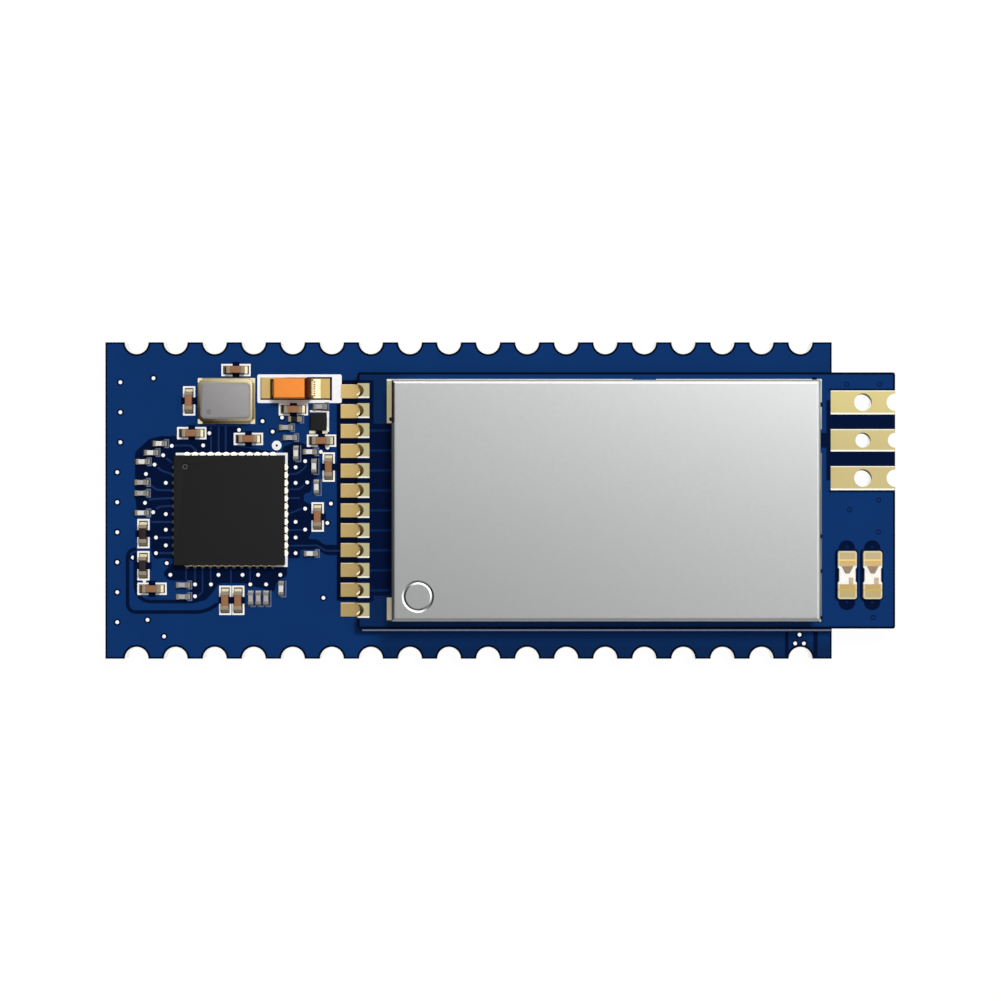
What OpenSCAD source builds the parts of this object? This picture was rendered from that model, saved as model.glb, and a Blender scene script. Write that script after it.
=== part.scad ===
// Ultra-wideband positioning module.
// A carrier board with plated half holes along both long edges holds a controller chip and its small parts.
// A shielded radio board is soldered on top of it and overhangs one end with its antenna contacts.
// Lengths are in millimetres. The origin is the centre of the carrier's underside, with +Z up.

/* [Carrier board] */
// Length of the carrier board along its contact rows
carrier_w = 46.5; // [45:0.1:50]
// Width of the carrier board across its contact rows
carrier_d = 20.26; // [20:0.02:24]
// Thickness of the carrier board
carrier_t = 1.6; // [0.8:0.1:2.4]
// Radius of a through via
via_r = 0.16; // [0.1:0.01:0.25]
// Thickness of the plated copper on both boards
copper_t = 0.04; // [0.02:0.01:0.08]
// Step of the layout grid that the carrier's small parts and vias are placed on
grid = 1; // [0.98:0.01:1.05]

/* [Carrier edge contacts] */
// Contacts in each row
contact_n = 18; // [8:1:18]
// Spacing of the contacts
contact_pitch = 2.5; // [2.2:0.01:2.54]
// Radius of a plated half hole
contact_r = 0.72; // [0.4:0.01:0.95]
// Copper beside each half hole on the underside
land_side = 0.12; // [0.1:0.01:0.14]
// Copper behind each half hole on the underside
land_back = 0.6; // [0.2:0.05:1.2]

/* [Radio board] */
// Length of the radio board beyond the can, where the antenna contacts and the lights sit
radio_end = 4.98; // [4.9:0.02:7]
// Width of the radio board beside the can
radio_side = 0.55; // [0.3:0.01:1.2]
// Thickness of the radio board
radio_t = 1; // [0.6:0.1:1.6]
// Corner radius of the radio board
radio_corner_r = 0.15; // [0.05:0.05:0.5]
// Distance from the controller's edge to the radio board
radio_gap = 4.71; // [4.6:0.01:6]

/* [Radio board contacts] */
// Contacts along the radio board's inner edge
joint_n = 12; // [4:1:12]
// Distance from the radio board's corners to the first and the last of those contacts
joint_margin = 1.165; // [1.1:0.005:1.6]
// Radius of a plated half hole in that edge
joint_r = 0.4; // [0.2:0.01:0.42]
// Width of a contact pad on the radio board
joint_w = 0.94; // [0.9:0.01:0.98]
// Width of a landing pad on the carrier
landing_w = 0.88; // [0.84:0.01:0.98]
// Length of a contact pad on the radio board
joint_l = 0.76; // [0.6:0.02:1.2]
// Length of the carrier's landing pad in front of the radio board
landing_out = 1.13; // [0.6:0.01:1.15]
// Length of the landing pad under the radio board
landing_in = 0.5; // [0.2:0.05:0.8]
// Reach of the solder from the wall of each half hole
solder_reach = 0.24; // [0.1:0.01:0.26]

/* [Antenna contacts] */
// Length of an antenna pad
antenna_l = 4.1; // [3.2:0.1:4.4]
// Spacing of the three antenna pads
antenna_pitch = 2.41; // [2.2:0.01:2.6]
// Height of the middle pad above the radio board's centre line
antenna_y = 3.83; // [3:0.01:4]
// Width of the two ground pads
ground_w = 1.54; // [1.4:0.02:1.6]
// Radius of the ground holes
ground_r = 0.55; // [0.3:0.01:0.6]
// Width of the signal pad
signal_w = 1.43; // [1.3:0.01:1.6]
// Radius of the signal holes
signal_r = 0.47; // [0.3:0.01:0.55]
// Distance from the board's end to each full hole
antenna_hole_in = 2.06; // [1.6:0.02:2.4]

/* [Shield can] */
// Length of the can
can_w = 26.96; // [22:0.02:27]
// Width of the can
can_d = 15.2; // [14:0.1:15.4]
// Height of the can
can_h = 2; // [1.6:0.1:3]
// Sheet thickness
can_sheet = 0.2; // [0.1:0.01:0.24]
// Outer radius of the folds
can_fold_r = 0.26; // [0.26:0.01:0.5]
// Width of the open slit at each upright corner
can_slit = 0.34; // [0.28:0.02:0.6]
// Distance from the radio board's inner edge to the can
can_inset = 2.25; // [2:0.01:3]
// Middle radius of the pressed ring mark
mark_r = 0.89; // [0.4:0.01:1.2]
// Width of the ring's groove
mark_w = 0.24; // [0.08:0.01:0.3]
// Depth of the ring's groove
mark_depth = 0.08; // [0.02:0.01:0.09]
// Distance from the can's inner end wall to the ring's centre
mark_end_in = 1.66; // [1.5:0.01:4]
// Distance from the can's side wall to the ring's centre
mark_side_in = 1.57; // [1.5:0.01:4]
// Reach of the shield's pads beyond the can's inner end wall
strip_end = 0.38; // [0.2:0.01:0.6]
// Reach of the shield's pads beyond the can's far end wall
strip_far = 0.31; // [0.2:0.01:0.4]
// Reach of the shield's pads beyond the can's side walls
strip_side = 0.12; // [0.05:0.01:0.16]

/* [Controller chip] */
// Distance from the carrier's end to the controller
chip_inset = 4.49; // [4.4:0.01:5.5]
// Distance of the controller's centre below the carrier's centre line
chip_drop = 0.62; // [0:0.01:1]
// Side of the square controller
chip_w = 7; // [6.6:0.1:7.3]
// Height of the controller
chip_h = 0.85; // [0.6:0.05:1.2]
// Leads on each side
chip_lead_n = 12; // [6:1:12]
// Lead spacing
lead_pitch = 0.5; // [0.4:0.01:0.52]
// Lead width
lead_w = 0.24; // [0.16:0.01:0.28]
// Lead length
lead_l = 0.4; // [0.3:0.01:0.5]
// Lead thickness
lead_t = 0.2; // [0.1:0.01:0.3]
// Reach of the board's pads beyond the leads
toe = 0.24; // [0.1:0.01:0.3]
// Side of the square heat pad under the controller
heat_w = 5.3; // [4:0.1:5.6]
// Radius of the first-pin dimple
dimple_r = 0.16; // [0.08:0.01:0.3]

/* [Oscillator] */
// Length of the oscillator
osc_w = 3.44; // [3:0.02:3.5]
// Width of the oscillator
osc_d = 2.7; // [2.4:0.02:2.8]
// Height of the ceramic base
osc_base_h = 0.5; // [0.3:0.05:0.8]
// Height of the seal ring
osc_ring_h = 0.12; // [0.06:0.01:0.2]
// Width of the seal ring that shows at the lid's short sides
osc_ring_show = 0.13; // [0.08:0.01:0.2]
// Width of the seal ring that shows at the lid's long sides
osc_ring_show_d = 0.2; // [0.08:0.01:0.3]
// Thickness of the lid's brim and of its raised top
osc_lid_t = 0.05; // [0.05:0.01:0.15]
// Width of the lid's brim
osc_brim = 0.08; // [0.08:0.01:0.25]
// Length of a corner pad under the oscillator
osc_pad_l = 1.1; // [0.8:0.05:1.3]
// Width of a corner pad under the oscillator
osc_pad_d = 0.95; // [0.7:0.05:1.1]
// Reach of the corner pads beyond the oscillator
osc_toe = 0.12; // [0.05:0.01:0.16]

/* [Tantalum capacitor] */
// Length of the moulded body
tantalum_l = 2.4; // [2:0.05:2.6]
// Width of the moulded body
tantalum_w = 1.32; // [1.1:0.02:1.4]
// Height of the moulded body
tantalum_h = 1.2; // [0.8:0.05:1.6]
// Draft of the moulded sides
tantalum_draft = 0.06; // [0.02:0.01:0.1]
// Thickness of the terminal strips
strap_t = 0.1; // [0.06:0.01:0.15]
// Width of the terminal strips
strap_w = 0.9; // [0.6:0.05:1]
// Length of a terminal's foot under the body
foot_l = 0.55; // [0.3:0.05:0.8]
// Length over both pads
tantalum_pads = 4.5; // [4:0.05:4.6]
// Length of one pad
tantalum_pad_l = 1.5; // [1.3:0.05:1.6]
// Offset of the body from the middle of its pads, lengthwise
tantalum_offset = -0.18; // [-0.3:0.02:0.3]
// Offset of the body from the middle of its pads, across them
tantalum_side = -0.06; // [-0.1:0.01:0.1]

/* [Chip capacitors and beads] */
// Length of a capacitor or bead
cap_l = 1.16; // [1:0.02:1.2]
// Width of a capacitor or bead
cap_w = 0.48; // [0.4:0.02:0.6]
// Height of a capacitor or bead
cap_h = 0.5; // [0.3:0.02:0.7]
// Length of a metal end
cap_end = 0.23; // [0.15:0.01:0.32]
// Thickness of the metal over the ends
end_t = 0.025; // [0.015:0.005:0.04]
// Length over both pads
cap_pads = 1.52; // [1.5:0.02:1.7]
// Length of one pad
cap_pad_l = 0.5; // [0.35:0.01:0.55]

/* [Small chip parts] */
// Length of a small chip part
small_l = 0.74; // [0.6:0.02:0.8]
// Width of a small chip part
small_w = 0.35; // [0.25:0.01:0.4]
// Height of a small chip part
small_h = 0.32; // [0.2:0.02:0.45]
// Length of a metal end
small_end = 0.17; // [0.1:0.01:0.2]
// Length over both pads
small_pads = 0.98; // [0.9:0.02:1.04]
// Length of one pad
small_pad_l = 0.3; // [0.2:0.01:0.34]

/* [Voltage regulator] */
// Length of the regulator
reg_w = 1.02; // [0.8:0.02:1.1]
// Width of the regulator across its leads
reg_d = 1.12; // [0.9:0.02:1.2]
// Height of the regulator
reg_h = 0.5; // [0.35:0.05:0.7]
// Width of a regulator lead
reg_lead_w = 0.3; // [0.2:0.02:0.36]
// Length of a regulator lead
reg_lead_l = 0.25; // [0.15:0.01:0.3]
// Thickness of a regulator lead
reg_lead_t = 0.12; // [0.08:0.01:0.2]
// Reach of its pads beyond the leads
reg_toe = 0.18; // [0.08:0.02:0.2]

/* [Indicator lights] */
// Length of a light
led_l = 3.04; // [2.6:0.02:3.2]
// Width of a light's ends
led_w = 1.18; // [1:0.02:1.3]
// Length of a light's wide ends
led_end_l = 1.14; // [0.9:0.02:1.25]
// Width of a light's waist
led_waist = 1.02; // [0.8:0.02:1.1]
// Thickness of the light's base
led_base_h = 0.3; // [0.2:0.02:0.5]
// Height of the clear lens
led_lens_h = 0.28; // [0.15:0.01:0.5]
// Length of the clear lens
led_lens_l = 1.26; // [1:0.02:1.3]
// Spacing of the two lights
led_pitch = 1.61; // [1.5:0.01:1.8]
// Distance from the radio board's end to the nearer light
led_inset = 1.47; // [1:0.01:1.6]
// Distance of the lights below the radio board's centre line
led_drop = 4.73; // [4:0.01:5.4]

/* [Parts under the shield] */
// Side of the square transceiver chip
radio_chip_w = 6; // [5.6:0.1:6.6]
// Height of the transceiver chip
radio_chip_h = 0.8; // [0.6:0.05:1.2]
// Side of the heat pad under the transceiver
radio_heat_w = 4.4; // [3.6:0.1:4.7]
// Distance from the can's inner end to the transceiver's centre
radio_chip_in = 8.5; // [8:0.1:12]
// Length of the reference crystal
crystal_w = 2.5; // [2:0.05:3.2]
// Width of the reference crystal
crystal_d = 2; // [1.6:0.05:2.4]
// Height of the reference crystal's base
crystal_base_h = 0.4; // [0.3:0.02:0.5]
// Thickness of the reference crystal's lid
crystal_lid_h = 0.15; // [0.08:0.01:0.25]
// Length of the balun
balun_l = 2; // [1.6:0.05:2.4]
// Width of the balun
balun_w = 1.25; // [1:0.05:1.6]
// Height of the balun
balun_h = 0.7; // [0.5:0.05:1]
// Length of the balun's metal ends
balun_end = 0.4; // [0.2:0.02:0.5]
// Capacitors on each side of the transceiver
decouple_n = 4; // [2:1:4]

/* [Hidden] */

$fn = 48;
// Overrun of a cut past the face it opens
over = 0.2;

// Levels of the stack: each piece stands on the copper below it
carrier_pad_z = carrier_t + copper_t;
radio_z = carrier_t + 2 * copper_t;
radio_top = radio_z + radio_t;
radio_pad_z = radio_top + copper_t;

// Edges of the carrier and the controller, from which the layout is measured
carrier_left = -carrier_w / 2;
chip_left = carrier_left + chip_inset;
chip_right = chip_left + chip_w;
chip_x = chip_left + chip_w / 2;
chip_y = -chip_drop;
chip_top = chip_y + chip_w / 2;
chip_bottom = chip_y - chip_w / 2;

// Edges of the radio board and of the can on it
radio_left = chip_right + radio_gap;
can_left = radio_left + can_inset;
can_x = can_left + can_w / 2;
can_right = can_left + can_w;
radio_right = can_right + radio_end;
radio_w = radio_right - radio_left;
radio_d = can_d + 2 * radio_side;
joint_pitch = (radio_d - 2 * joint_margin) / (joint_n - 1);

// Land of a carrier contact on the underside
land_w = 2 * (contact_r + land_side);
land_l = contact_r + land_back;

// Places round the controller are [x, y, turn] in steps of the layout grid,
// measured from the edge of the chip that each bank faces
function beside_left(x, y, turn = 0) = [chip_left - x * grid, chip_y + y * grid, turn];
function beside_right(x, y, turn = 0) = [chip_right + x * grid, chip_y + y * grid, turn];
function above(x, y, turn = 0) = [chip_x + x * grid, chip_top + y * grid, turn];
function below(x, y, turn = 0) = [chip_x + x * grid, chip_bottom - y * grid, turn];

// Places at the carrier's own left corners, in the same steps
function upper_corner(x, y) = [carrier_left + x * grid, carrier_d / 2 - y * grid];
function lower_corner(x, y) = [carrier_left + x * grid, -carrier_d / 2 + y * grid];

cap_places = [
    above(0.37, 5.49), above(-2.46, 1.43), above(1.17, 1.07), above(4.05, 2.95), above(5.84, 0.95),
    above(-2.63, 3.5, 90),
    beside_left(1.51, -5.02),
    beside_right(2.81, 2.76, 90), beside_right(2.1, -0.43, 90),
    below(-0.31, 2.27, 90), below(0.52, 2.27, 90)
];

bead_places = [beside_left(2.06, -1.5, 90), beside_left(2.06, -3.55, 90)];

small_places = concat(
    [for (i = [0:2]) beside_left(1.03 + 0.55 * i, 4.26 - 0.58 * i)],
    [beside_left(2.2, 1.78), beside_left(2.2, 1.09), beside_left(2.18, -0.17)],
    [for (i = [0, 1]) below(-3.05, 1.28 + 0.75 * i)],
    [for (i = [0:2]) below(1.33 + 0.49 * i, 2.13, 90)],
    [below(3.27, 1.51, 90)],
    [above(3.53, 1.79), above(3.79, 1.15), above(5.72, 3.12)],
    [beside_right(0.72, 3.65, 90), beside_right(1.58, 3.74), beside_right(1.88, 2.82, 90)],
    [beside_right(2.03, 1.48, 90), beside_right(1.62, -2.77)]
);

diode_place = above(4.12, 2.33);
oscillator_place = above(-0.23, 3.49);
tantalum_place = above(4.24, 4.32);
regulator_place = above(5.69, 2.14);

// Vias: a stitched column at the carrier's end, fan-outs round the controller, and three at the last contact
stitch_pitch = 1.92;
stitch_first = 2.56;
last_via_pitch = 0.56;
last_via_gap = 0.26;
last_via_shift = -0.06;
last_contact_x = (contact_n - 1) / 2 * contact_pitch;
last_via_x = last_contact_x + last_via_shift;
via_places = concat(
    [for (i = [0:8]) upper_corner(i < 3 ? 0.96 : 0.76, stitch_first + stitch_pitch * i)],
    [upper_corner(3.08, 2.3), lower_corner(2.7, 2.49), lower_corner(3.76, 1.43)],
    [for (y = [1.75, -0.25, -1.25, -2.25]) beside_left(0.62, y)],
    [for (y = [-1.75, -2.75]) beside_left(1.25, y)],
    [for (i = [0:3]) beside_left(0.24 + 0.55 * i, 4.12 - 0.6 * i)],
    [beside_left(1.95, 0.47), beside_left(1.43, -0.13)],
    [beside_left(2.73, -3.03), beside_left(0.56, -3.39), beside_left(0.33, -4.14)],
    [for (y = [2.75, 1.75, -0.75, -1.75, -2.75]) beside_right(0.69, y)],
    [for (y = [3.14, 0.1, -1.24]) beside_right(1.3, y)],
    [beside_right(1.43, 1.78), beside_right(2.95, 0.42), beside_right(2.72, -0.82)],
    [beside_right(2.74, 4), beside_right(2.31, 3.74), beside_right(2.47, -5.61)],
    [above(-1.73, 0.65), above(-1.32, 1.42), above(0.57, 1.64), above(2.07, 2.2), above(2.72, 1.53)],
    [above(3.32, 2.43)],
    [for (x = [-0.75, 0.79, 1.79, 3.21]) below(x, 0.64)],
    [for (x = [-2.25, -1.23, 1.29, 2.3]) below(x, 1.25)],
    [below(-2.25, 2.01)],
    [for (side = [-1, 1])
        [last_via_x + side * last_via_pitch / 2, -carrier_d / 2 + contact_r + last_via_gap]],
    [[last_via_x, -carrier_d / 2 + contact_r + last_via_gap + last_via_pitch]]
);

// Parts under the shield: the transceiver, its decoupling at both sides, the crystal below and the balun
radio_chip_x = can_left + radio_chip_in;
under_gap = 0.9;
crystal_y = -radio_chip_w / 2 - under_gap - crystal_d / 2;
balun_x = radio_chip_x + radio_chip_w / 2 + 2.4 + balun_l / 2;
decouple_pitch = 1.3;
decouple_x = radio_chip_w / 2 + under_gap + cap_w / 2;
decouple_places = [for (side = [-1, 1], i = [0:decouple_n - 1])
    [radio_chip_x + side * decouple_x, (i - (decouple_n - 1) / 2) * decouple_pitch, 0]];
radio_heat_lead_n = 10;

// Copies its children to every carrier edge contact, with +Y pointing into the board
module at_carrier_contacts() {
    for (side = [-1, 1], i = [0:contact_n - 1])
        translate([(i - (contact_n - 1) / 2) * contact_pitch, side * carrier_d / 2])
            rotate(side < 0 ? 0 : 180)
                children();
}

// Copies its children along the radio board's inner edge, with +X pointing into the radio board
module at_joints() {
    for (i = [0:joint_n - 1])
        translate([radio_left, (i - (joint_n - 1) / 2) * joint_pitch])
            children();
}

// Copies its children to listed places [x, y, turn] at a height
module at_places(places, z = 0) {
    for (place = places)
        translate([place[0], place[1], z])
            rotate(len(place) > 2 ? place[2] : 0)
                children();
}

// Copies its children to every lead of a four-sided chip, with +X pointing out of the chip
module at_leads(w, n) {
    for (side = [0:3], i = [0:n - 1])
        rotate(90 * side)
            translate([w / 2, (i - (n - 1) / 2) * lead_pitch])
                children();
}

// Rectangle with round corners
module round_rect(w, d, r) {
    square([w - 2 * r, d], center = true);
    square([w, d - 2 * r], center = true);
    for (x = [-1, 1], y = [-1, 1])
        translate([x * (w / 2 - r), y * (d / 2 - r)])
            circle(r = r);
}

// Block standing on z = 0
module block(w, d, h) {
    translate([-w / 2, -d / 2, 0])
        cube([w, d, h]);
}

// Half of a plated ring on a board's edge, on the +Y side
module half_ring(r) {
    intersection() {
        difference() {
            circle(r = r + copper_t);
            circle(r = r);
        }
        translate([-2 * r, 0])
            square([4 * r, 2 * r]);
    }
}

// Carrier board

module carrier_board() {
    color("#0f3468")
        difference() {
            linear_extrude(carrier_t)
                difference() {
                    square([carrier_w, carrier_d], center = true);
                    at_carrier_contacts()
                        circle(r = contact_r + copper_t);
                    at_places(via_places)
                        circle(r = via_r);
                }
            at_carrier_contacts()
                translate([-land_w / 2, -over, -over])
                    cube([land_w, land_l + over, copper_t + over]);
        }
}

// Carrier contacts: each a half barrel with a flush land on the underside, drilled where a via passes
module carrier_contacts() {
    color("#d9bd7c")
        difference() {
            at_carrier_contacts() {
                linear_extrude(carrier_t)
                    half_ring(contact_r);
                linear_extrude(copper_t)
                    difference() {
                        translate([-land_w / 2, 0])
                            square([land_w, land_l]);
                        circle(r = contact_r);
                    }
            }
            translate([0, 0, -over])
                linear_extrude(copper_t + 2 * over)
                    at_places(via_places)
                        circle(r = via_r);
        }
}

module landing_pads() {
    color("#d2b06c")
        at_joints()
            translate([-landing_out, -landing_w / 2, carrier_t])
                cube([landing_out + landing_in, landing_w, copper_t]);
}

// Two pads of a two-ended part, drawn along X
module pad_pair(over_all, pad_l, w) {
    for (side = [-1, 1])
        translate([side * (over_all - pad_l) / 2, 0])
            square([pad_l, w], center = true);
}

// Pads of a four-sided chip: one with a round toe under each lead, and one under its heat pad
module chip_pads(w, n, heat) {
    toe_r = lead_w / 2;
    at_leads(w, n) {
        translate([-lead_l, -toe_r])
            square([lead_l + toe - toe_r, lead_w]);
        translate([toe - toe_r, 0])
            circle(r = toe_r);
    }
    square(heat, center = true);
}

module oscillator_pads() {
    for (x = [-1, 1], y = [-1, 1])
        translate([x * ((osc_w - osc_pad_l) / 2 + osc_toe), y * ((osc_d - osc_pad_d) / 2 + osc_toe)])
            square([osc_pad_l, osc_pad_d], center = true);
}

// Regulator pads: the lower pair reaches out below the body
module regulator_pads() {
    for (x = [-1, 1]) {
        translate([x * (reg_w - reg_lead_w) / 2, (reg_d - reg_lead_l) / 2])
            square([reg_lead_w, reg_lead_l], center = true);
        translate([x * (reg_w - reg_lead_w) / 2, -(reg_d - reg_lead_l + reg_toe) / 2])
            square([reg_lead_w, reg_lead_l + reg_toe], center = true);
    }
}

module component_pads() {
    color("#d9c07c")
        translate([0, 0, carrier_t])
            linear_extrude(copper_t) {
                at_places(concat(cap_places, bead_places))
                    pad_pair(cap_pads, cap_pad_l, cap_w);
                at_places(concat(small_places, [diode_place]))
                    pad_pair(small_pads, small_pad_l, small_w);
                translate([chip_x, chip_y])
                    chip_pads(chip_w, chip_lead_n, heat_w);
                at_places([oscillator_place])
                    oscillator_pads();
                at_places([tantalum_place])
                    pad_pair(tantalum_pads, tantalum_pad_l, tantalum_w);
                at_places([regulator_place])
                    regulator_pads();
            }
}

// Radio board

// The three antenna pads as [y, hole radius, pad width]
antenna_rows = [for (i = [-1:1])
    [antenna_y + i * antenna_pitch, i == 0 ? signal_r : ground_r, i == 0 ? signal_w : ground_w]];

module radio_board() {
    color("#12386e")
        translate([0, 0, radio_z])
            linear_extrude(radio_t)
                difference() {
                    translate([radio_left + radio_w / 2, 0])
                        round_rect(radio_w, radio_d, radio_corner_r);
                    at_joints()
                        circle(r = joint_r + copper_t);
                    for (row = antenna_rows, x = [radio_right, radio_right - antenna_hole_in])
                        translate([x, row[0]])
                            circle(r = row[1] + copper_t);
                }
}

// One radio contact: a pad on both faces joined by the half barrel in the edge
module radio_contacts() {
    color("#d6bd84")
        at_joints() {
            translate([0, 0, radio_z - copper_t])
                linear_extrude(radio_t + 2 * copper_t)
                    rotate(-90)
                        half_ring(joint_r);
            for (z = [radio_z - copper_t, radio_top])
                translate([0, 0, z])
                    linear_extrude(copper_t)
                        difference() {
                            translate([0, -joint_w / 2])
                                square([joint_l, joint_w]);
                            circle(r = joint_r);
                        }
        }
}

// Solder in each half hole: a meniscus that climbs from the landing pad up the plated wall
module solder_joints() {
    solder_h = radio_top - carrier_pad_z;
    foot_cut_r = 0.85 * joint_r;
    top_cut_r = joint_r + 0.86 * solder_reach;
    color("#8a6a2c")
        at_joints()
            translate([0, 0, carrier_pad_z])
                difference() {
                    intersection() {
                        cylinder(r = joint_r, h = solder_h);
                        translate([0, -2 * joint_r, 0])
                            cube([2 * joint_r, 4 * joint_r, solder_h]);
                    }
                    translate([-solder_reach, 0, 0])
                        cylinder(r1 = foot_cut_r, r2 = top_cut_r, h = solder_h);
                }
}

// One antenna contact: a pad on both faces, a plated hole and a plated half hole at the board's end
module antenna_contact(r, w) {
    hole_x = -antenna_hole_in;
    for (z = [radio_z - copper_t, radio_top])
        translate([0, 0, z])
            linear_extrude(copper_t)
                difference() {
                    translate([-antenna_l, -w / 2])
                        square([antenna_l, w]);
                    circle(r = r);
                    translate([hole_x, 0])
                        circle(r = r);
                }
    translate([hole_x, 0, radio_z - copper_t])
        difference() {
            cylinder(r = r + copper_t, h = radio_t + 2 * copper_t);
            translate([0, 0, -over])
                cylinder(r = r, h = radio_t + 2 * copper_t + 2 * over);
        }
    translate([0, 0, radio_z - copper_t])
        linear_extrude(radio_t + 2 * copper_t)
            rotate(90)
                half_ring(r);
}

module antenna_contacts() {
    color("#e3d092")
        for (row = antenna_rows)
            translate([radio_right, row[0], 0])
                antenna_contact(row[1], row[2]);
}

led_places = [for (i = [0, 1]) [radio_right - led_inset - i * led_pitch, -led_drop, 90]];
led_pad_l = led_end_l - 0.2;

module radio_component_pads() {
    color("#d9c07c")
        translate([0, 0, radio_top])
            linear_extrude(copper_t) {
                at_places(led_places)
                    pad_pair(led_l, led_pad_l, led_w - 0.1);
                translate([radio_chip_x, 0])
                    chip_pads(radio_chip_w, radio_heat_lead_n, radio_heat_w);
                translate([radio_chip_x, crystal_y])
                    pad_pair(crystal_w, 0.9, crystal_d);
                translate([balun_x, antenna_y - antenna_pitch])
                    pad_pair(balun_l + 0.4, balun_end + 0.2, balun_w);
                at_places(decouple_places)
                    pad_pair(cap_pads, cap_pad_l, cap_w);
            }
}

// Shield

strip_in = 0.15;
strip_gap = 0.2;
strip_x0 = can_left - strip_end;
strip_x1 = can_right + strip_far;
strip_y = can_d / 2 + strip_side;
strip_end_w = strip_end + can_sheet + strip_in;
strip_far_w = strip_far + can_sheet + strip_in;
strip_side_w = strip_side + can_sheet + strip_in;
first_strip_l = 2.8;
last_strip_l = 1.55;
side_break = 1.5;
// Place of the break along the can, as a share of its length
break_share = 0.593;
corner_gap = 0.25;
corner_gap_in = 0.18;

// Gold strips that the can's rim is soldered to, with breaks between them
module shield_strips() {
    translate([strip_x0, strip_y - first_strip_l])
        square([strip_end_w, first_strip_l]);
    translate([strip_x0, -strip_y])
        square([strip_end_w, last_strip_l]);
    difference() {
        for (y = [strip_y - strip_side_w, -strip_y])
            translate([strip_x0, y])
                square([strip_x1 - strip_x0, strip_side_w]);
        translate([can_left + break_share * can_w, 0])
            square([side_break, 4 * strip_y], center = true);
        translate([can_right - corner_gap_in, strip_y])
            square([corner_gap, 2 * strip_side_w + over], center = true);
    }
    difference() {
        translate([strip_x1 - strip_far_w, -strip_y])
            square([strip_far_w, 2 * strip_y - strip_side_w]);
        for (cut = [[6.05, strip_gap], [3.77, side_break], [-2.27, strip_gap]])
            translate([strip_x1 - strip_far_w / 2, cut[0]])
                square([2 * strip_far_w, cut[1]], center = true);
    }
    translate([can_right - can_sheet, strip_y - strip_side_w - over])
        square([strip_x1 - can_right + can_sheet, strip_side_w + over]);
}

module shield_pads() {
    color("#cdbb8a")
        translate([0, 0, radio_top])
            linear_extrude(copper_t)
                shield_strips();
}

// Section through the can along one direction, with its two top folds
module can_section(w, h, r) {
    translate([-w / 2, 0])
        square([w, h - r]);
    translate([-w / 2 + r, 0])
        square([w - 2 * r, h]);
    for (x = [-1, 1])
        translate([x * (w / 2 - r), h - r])
            circle(r = r);
}

// Block with its four top edges folded round
module can_block(w, d, h, r) {
    intersection() {
        translate([0, d / 2, 0])
            rotate([90, 0, 0])
                linear_extrude(d)
                    can_section(w, h, r);
        translate([-w / 2, 0, 0])
            rotate([90, 0, 90])
                linear_extrude(w)
                    can_section(d, h, r);
    }
}

// One folded sheet: a flat top, four walls with open corner slits, and the pressed first-pin ring
module shield_can() {
    color("#b9babc")
        translate([can_x, 0, radio_pad_z])
            difference() {
                can_block(can_w, can_d, can_h, can_fold_r);
                translate([0, 0, -over])
                    can_block(can_w - 2 * can_sheet, can_d - 2 * can_sheet, can_h - can_sheet + over,
                              can_fold_r - can_sheet);
                for (x = [-1, 1], y = [-1, 1])
                    translate([x * can_w / 2, y * can_d / 2, -over])
                        block(2 * can_slit, 2 * can_slit, can_h - can_fold_r + over);
                translate([mark_end_in - can_w / 2, mark_side_in - can_d / 2, can_h])
                    rotate_extrude()
                        translate([mark_r, 0])
                            polygon([[-mark_w / 2, 0], [0, -mark_depth], [mark_w / 2, 0]]);
            }
}

// Chips with leads round four sides

// Moulded body with room for the leads and the heat pad in its underside
module chip_body(w, h, n, heat) {
    translate([0, 0, lead_t])
        block(w, w, h - lead_t);
    linear_extrude(lead_t)
        difference() {
            square(w, center = true);
            chip_lead_shapes(w, n);
            square(heat, center = true);
        }
}

module chip_lead_shapes(w, n) {
    at_leads(w, n)
        translate([-lead_l, -lead_w / 2])
            square([lead_l, lead_w]);
}

module controller_body() {
    dimple_in = 0.65;
    dimple_depth = 0.05;
    color("#262626")
        translate([chip_x, chip_y, carrier_pad_z])
            difference() {
                chip_body(chip_w, chip_h, chip_lead_n, heat_w);
                translate([dimple_in - chip_w / 2, chip_w / 2 - dimple_in, chip_h - dimple_depth])
                    cylinder(r = dimple_r, h = dimple_depth + over);
            }
}

module controller_leads() {
    color("#cfc6ad")
        translate([chip_x, chip_y, carrier_pad_z])
            linear_extrude(lead_t)
                chip_lead_shapes(chip_w, chip_lead_n);
}

module controller_heat_pad() {
    color("#cfc6ad")
        translate([chip_x, chip_y, carrier_pad_z])
            block(heat_w, heat_w, lead_t);
}

// Oscillator

osc_corner_r = 0.2;
osc_lid_w = osc_w - 2 * osc_ring_show;
osc_lid_d = osc_d - 2 * osc_ring_show_d;

// Ceramic base with a quarter-round notch at each corner
module oscillator_base() {
    color("#4a4038")
        at_places([oscillator_place], carrier_pad_z)
            linear_extrude(osc_base_h)
                difference() {
                    square([osc_w, osc_d], center = true);
                    for (x = [-1, 1], y = [-1, 1])
                        translate([x * osc_w / 2, y * osc_d / 2])
                            circle(r = osc_corner_r);
                }
}

module oscillator_seal_ring() {
    ring_in = 0.45;
    color("#b09a62")
        at_places([oscillator_place], carrier_pad_z + osc_base_h)
            linear_extrude(osc_ring_h)
                difference() {
                    round_rect(osc_w, osc_d, 1.6 * osc_corner_r);
                    round_rect(osc_w - 2 * ring_in, osc_d - 2 * ring_in, osc_corner_r);
                }
}

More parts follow.
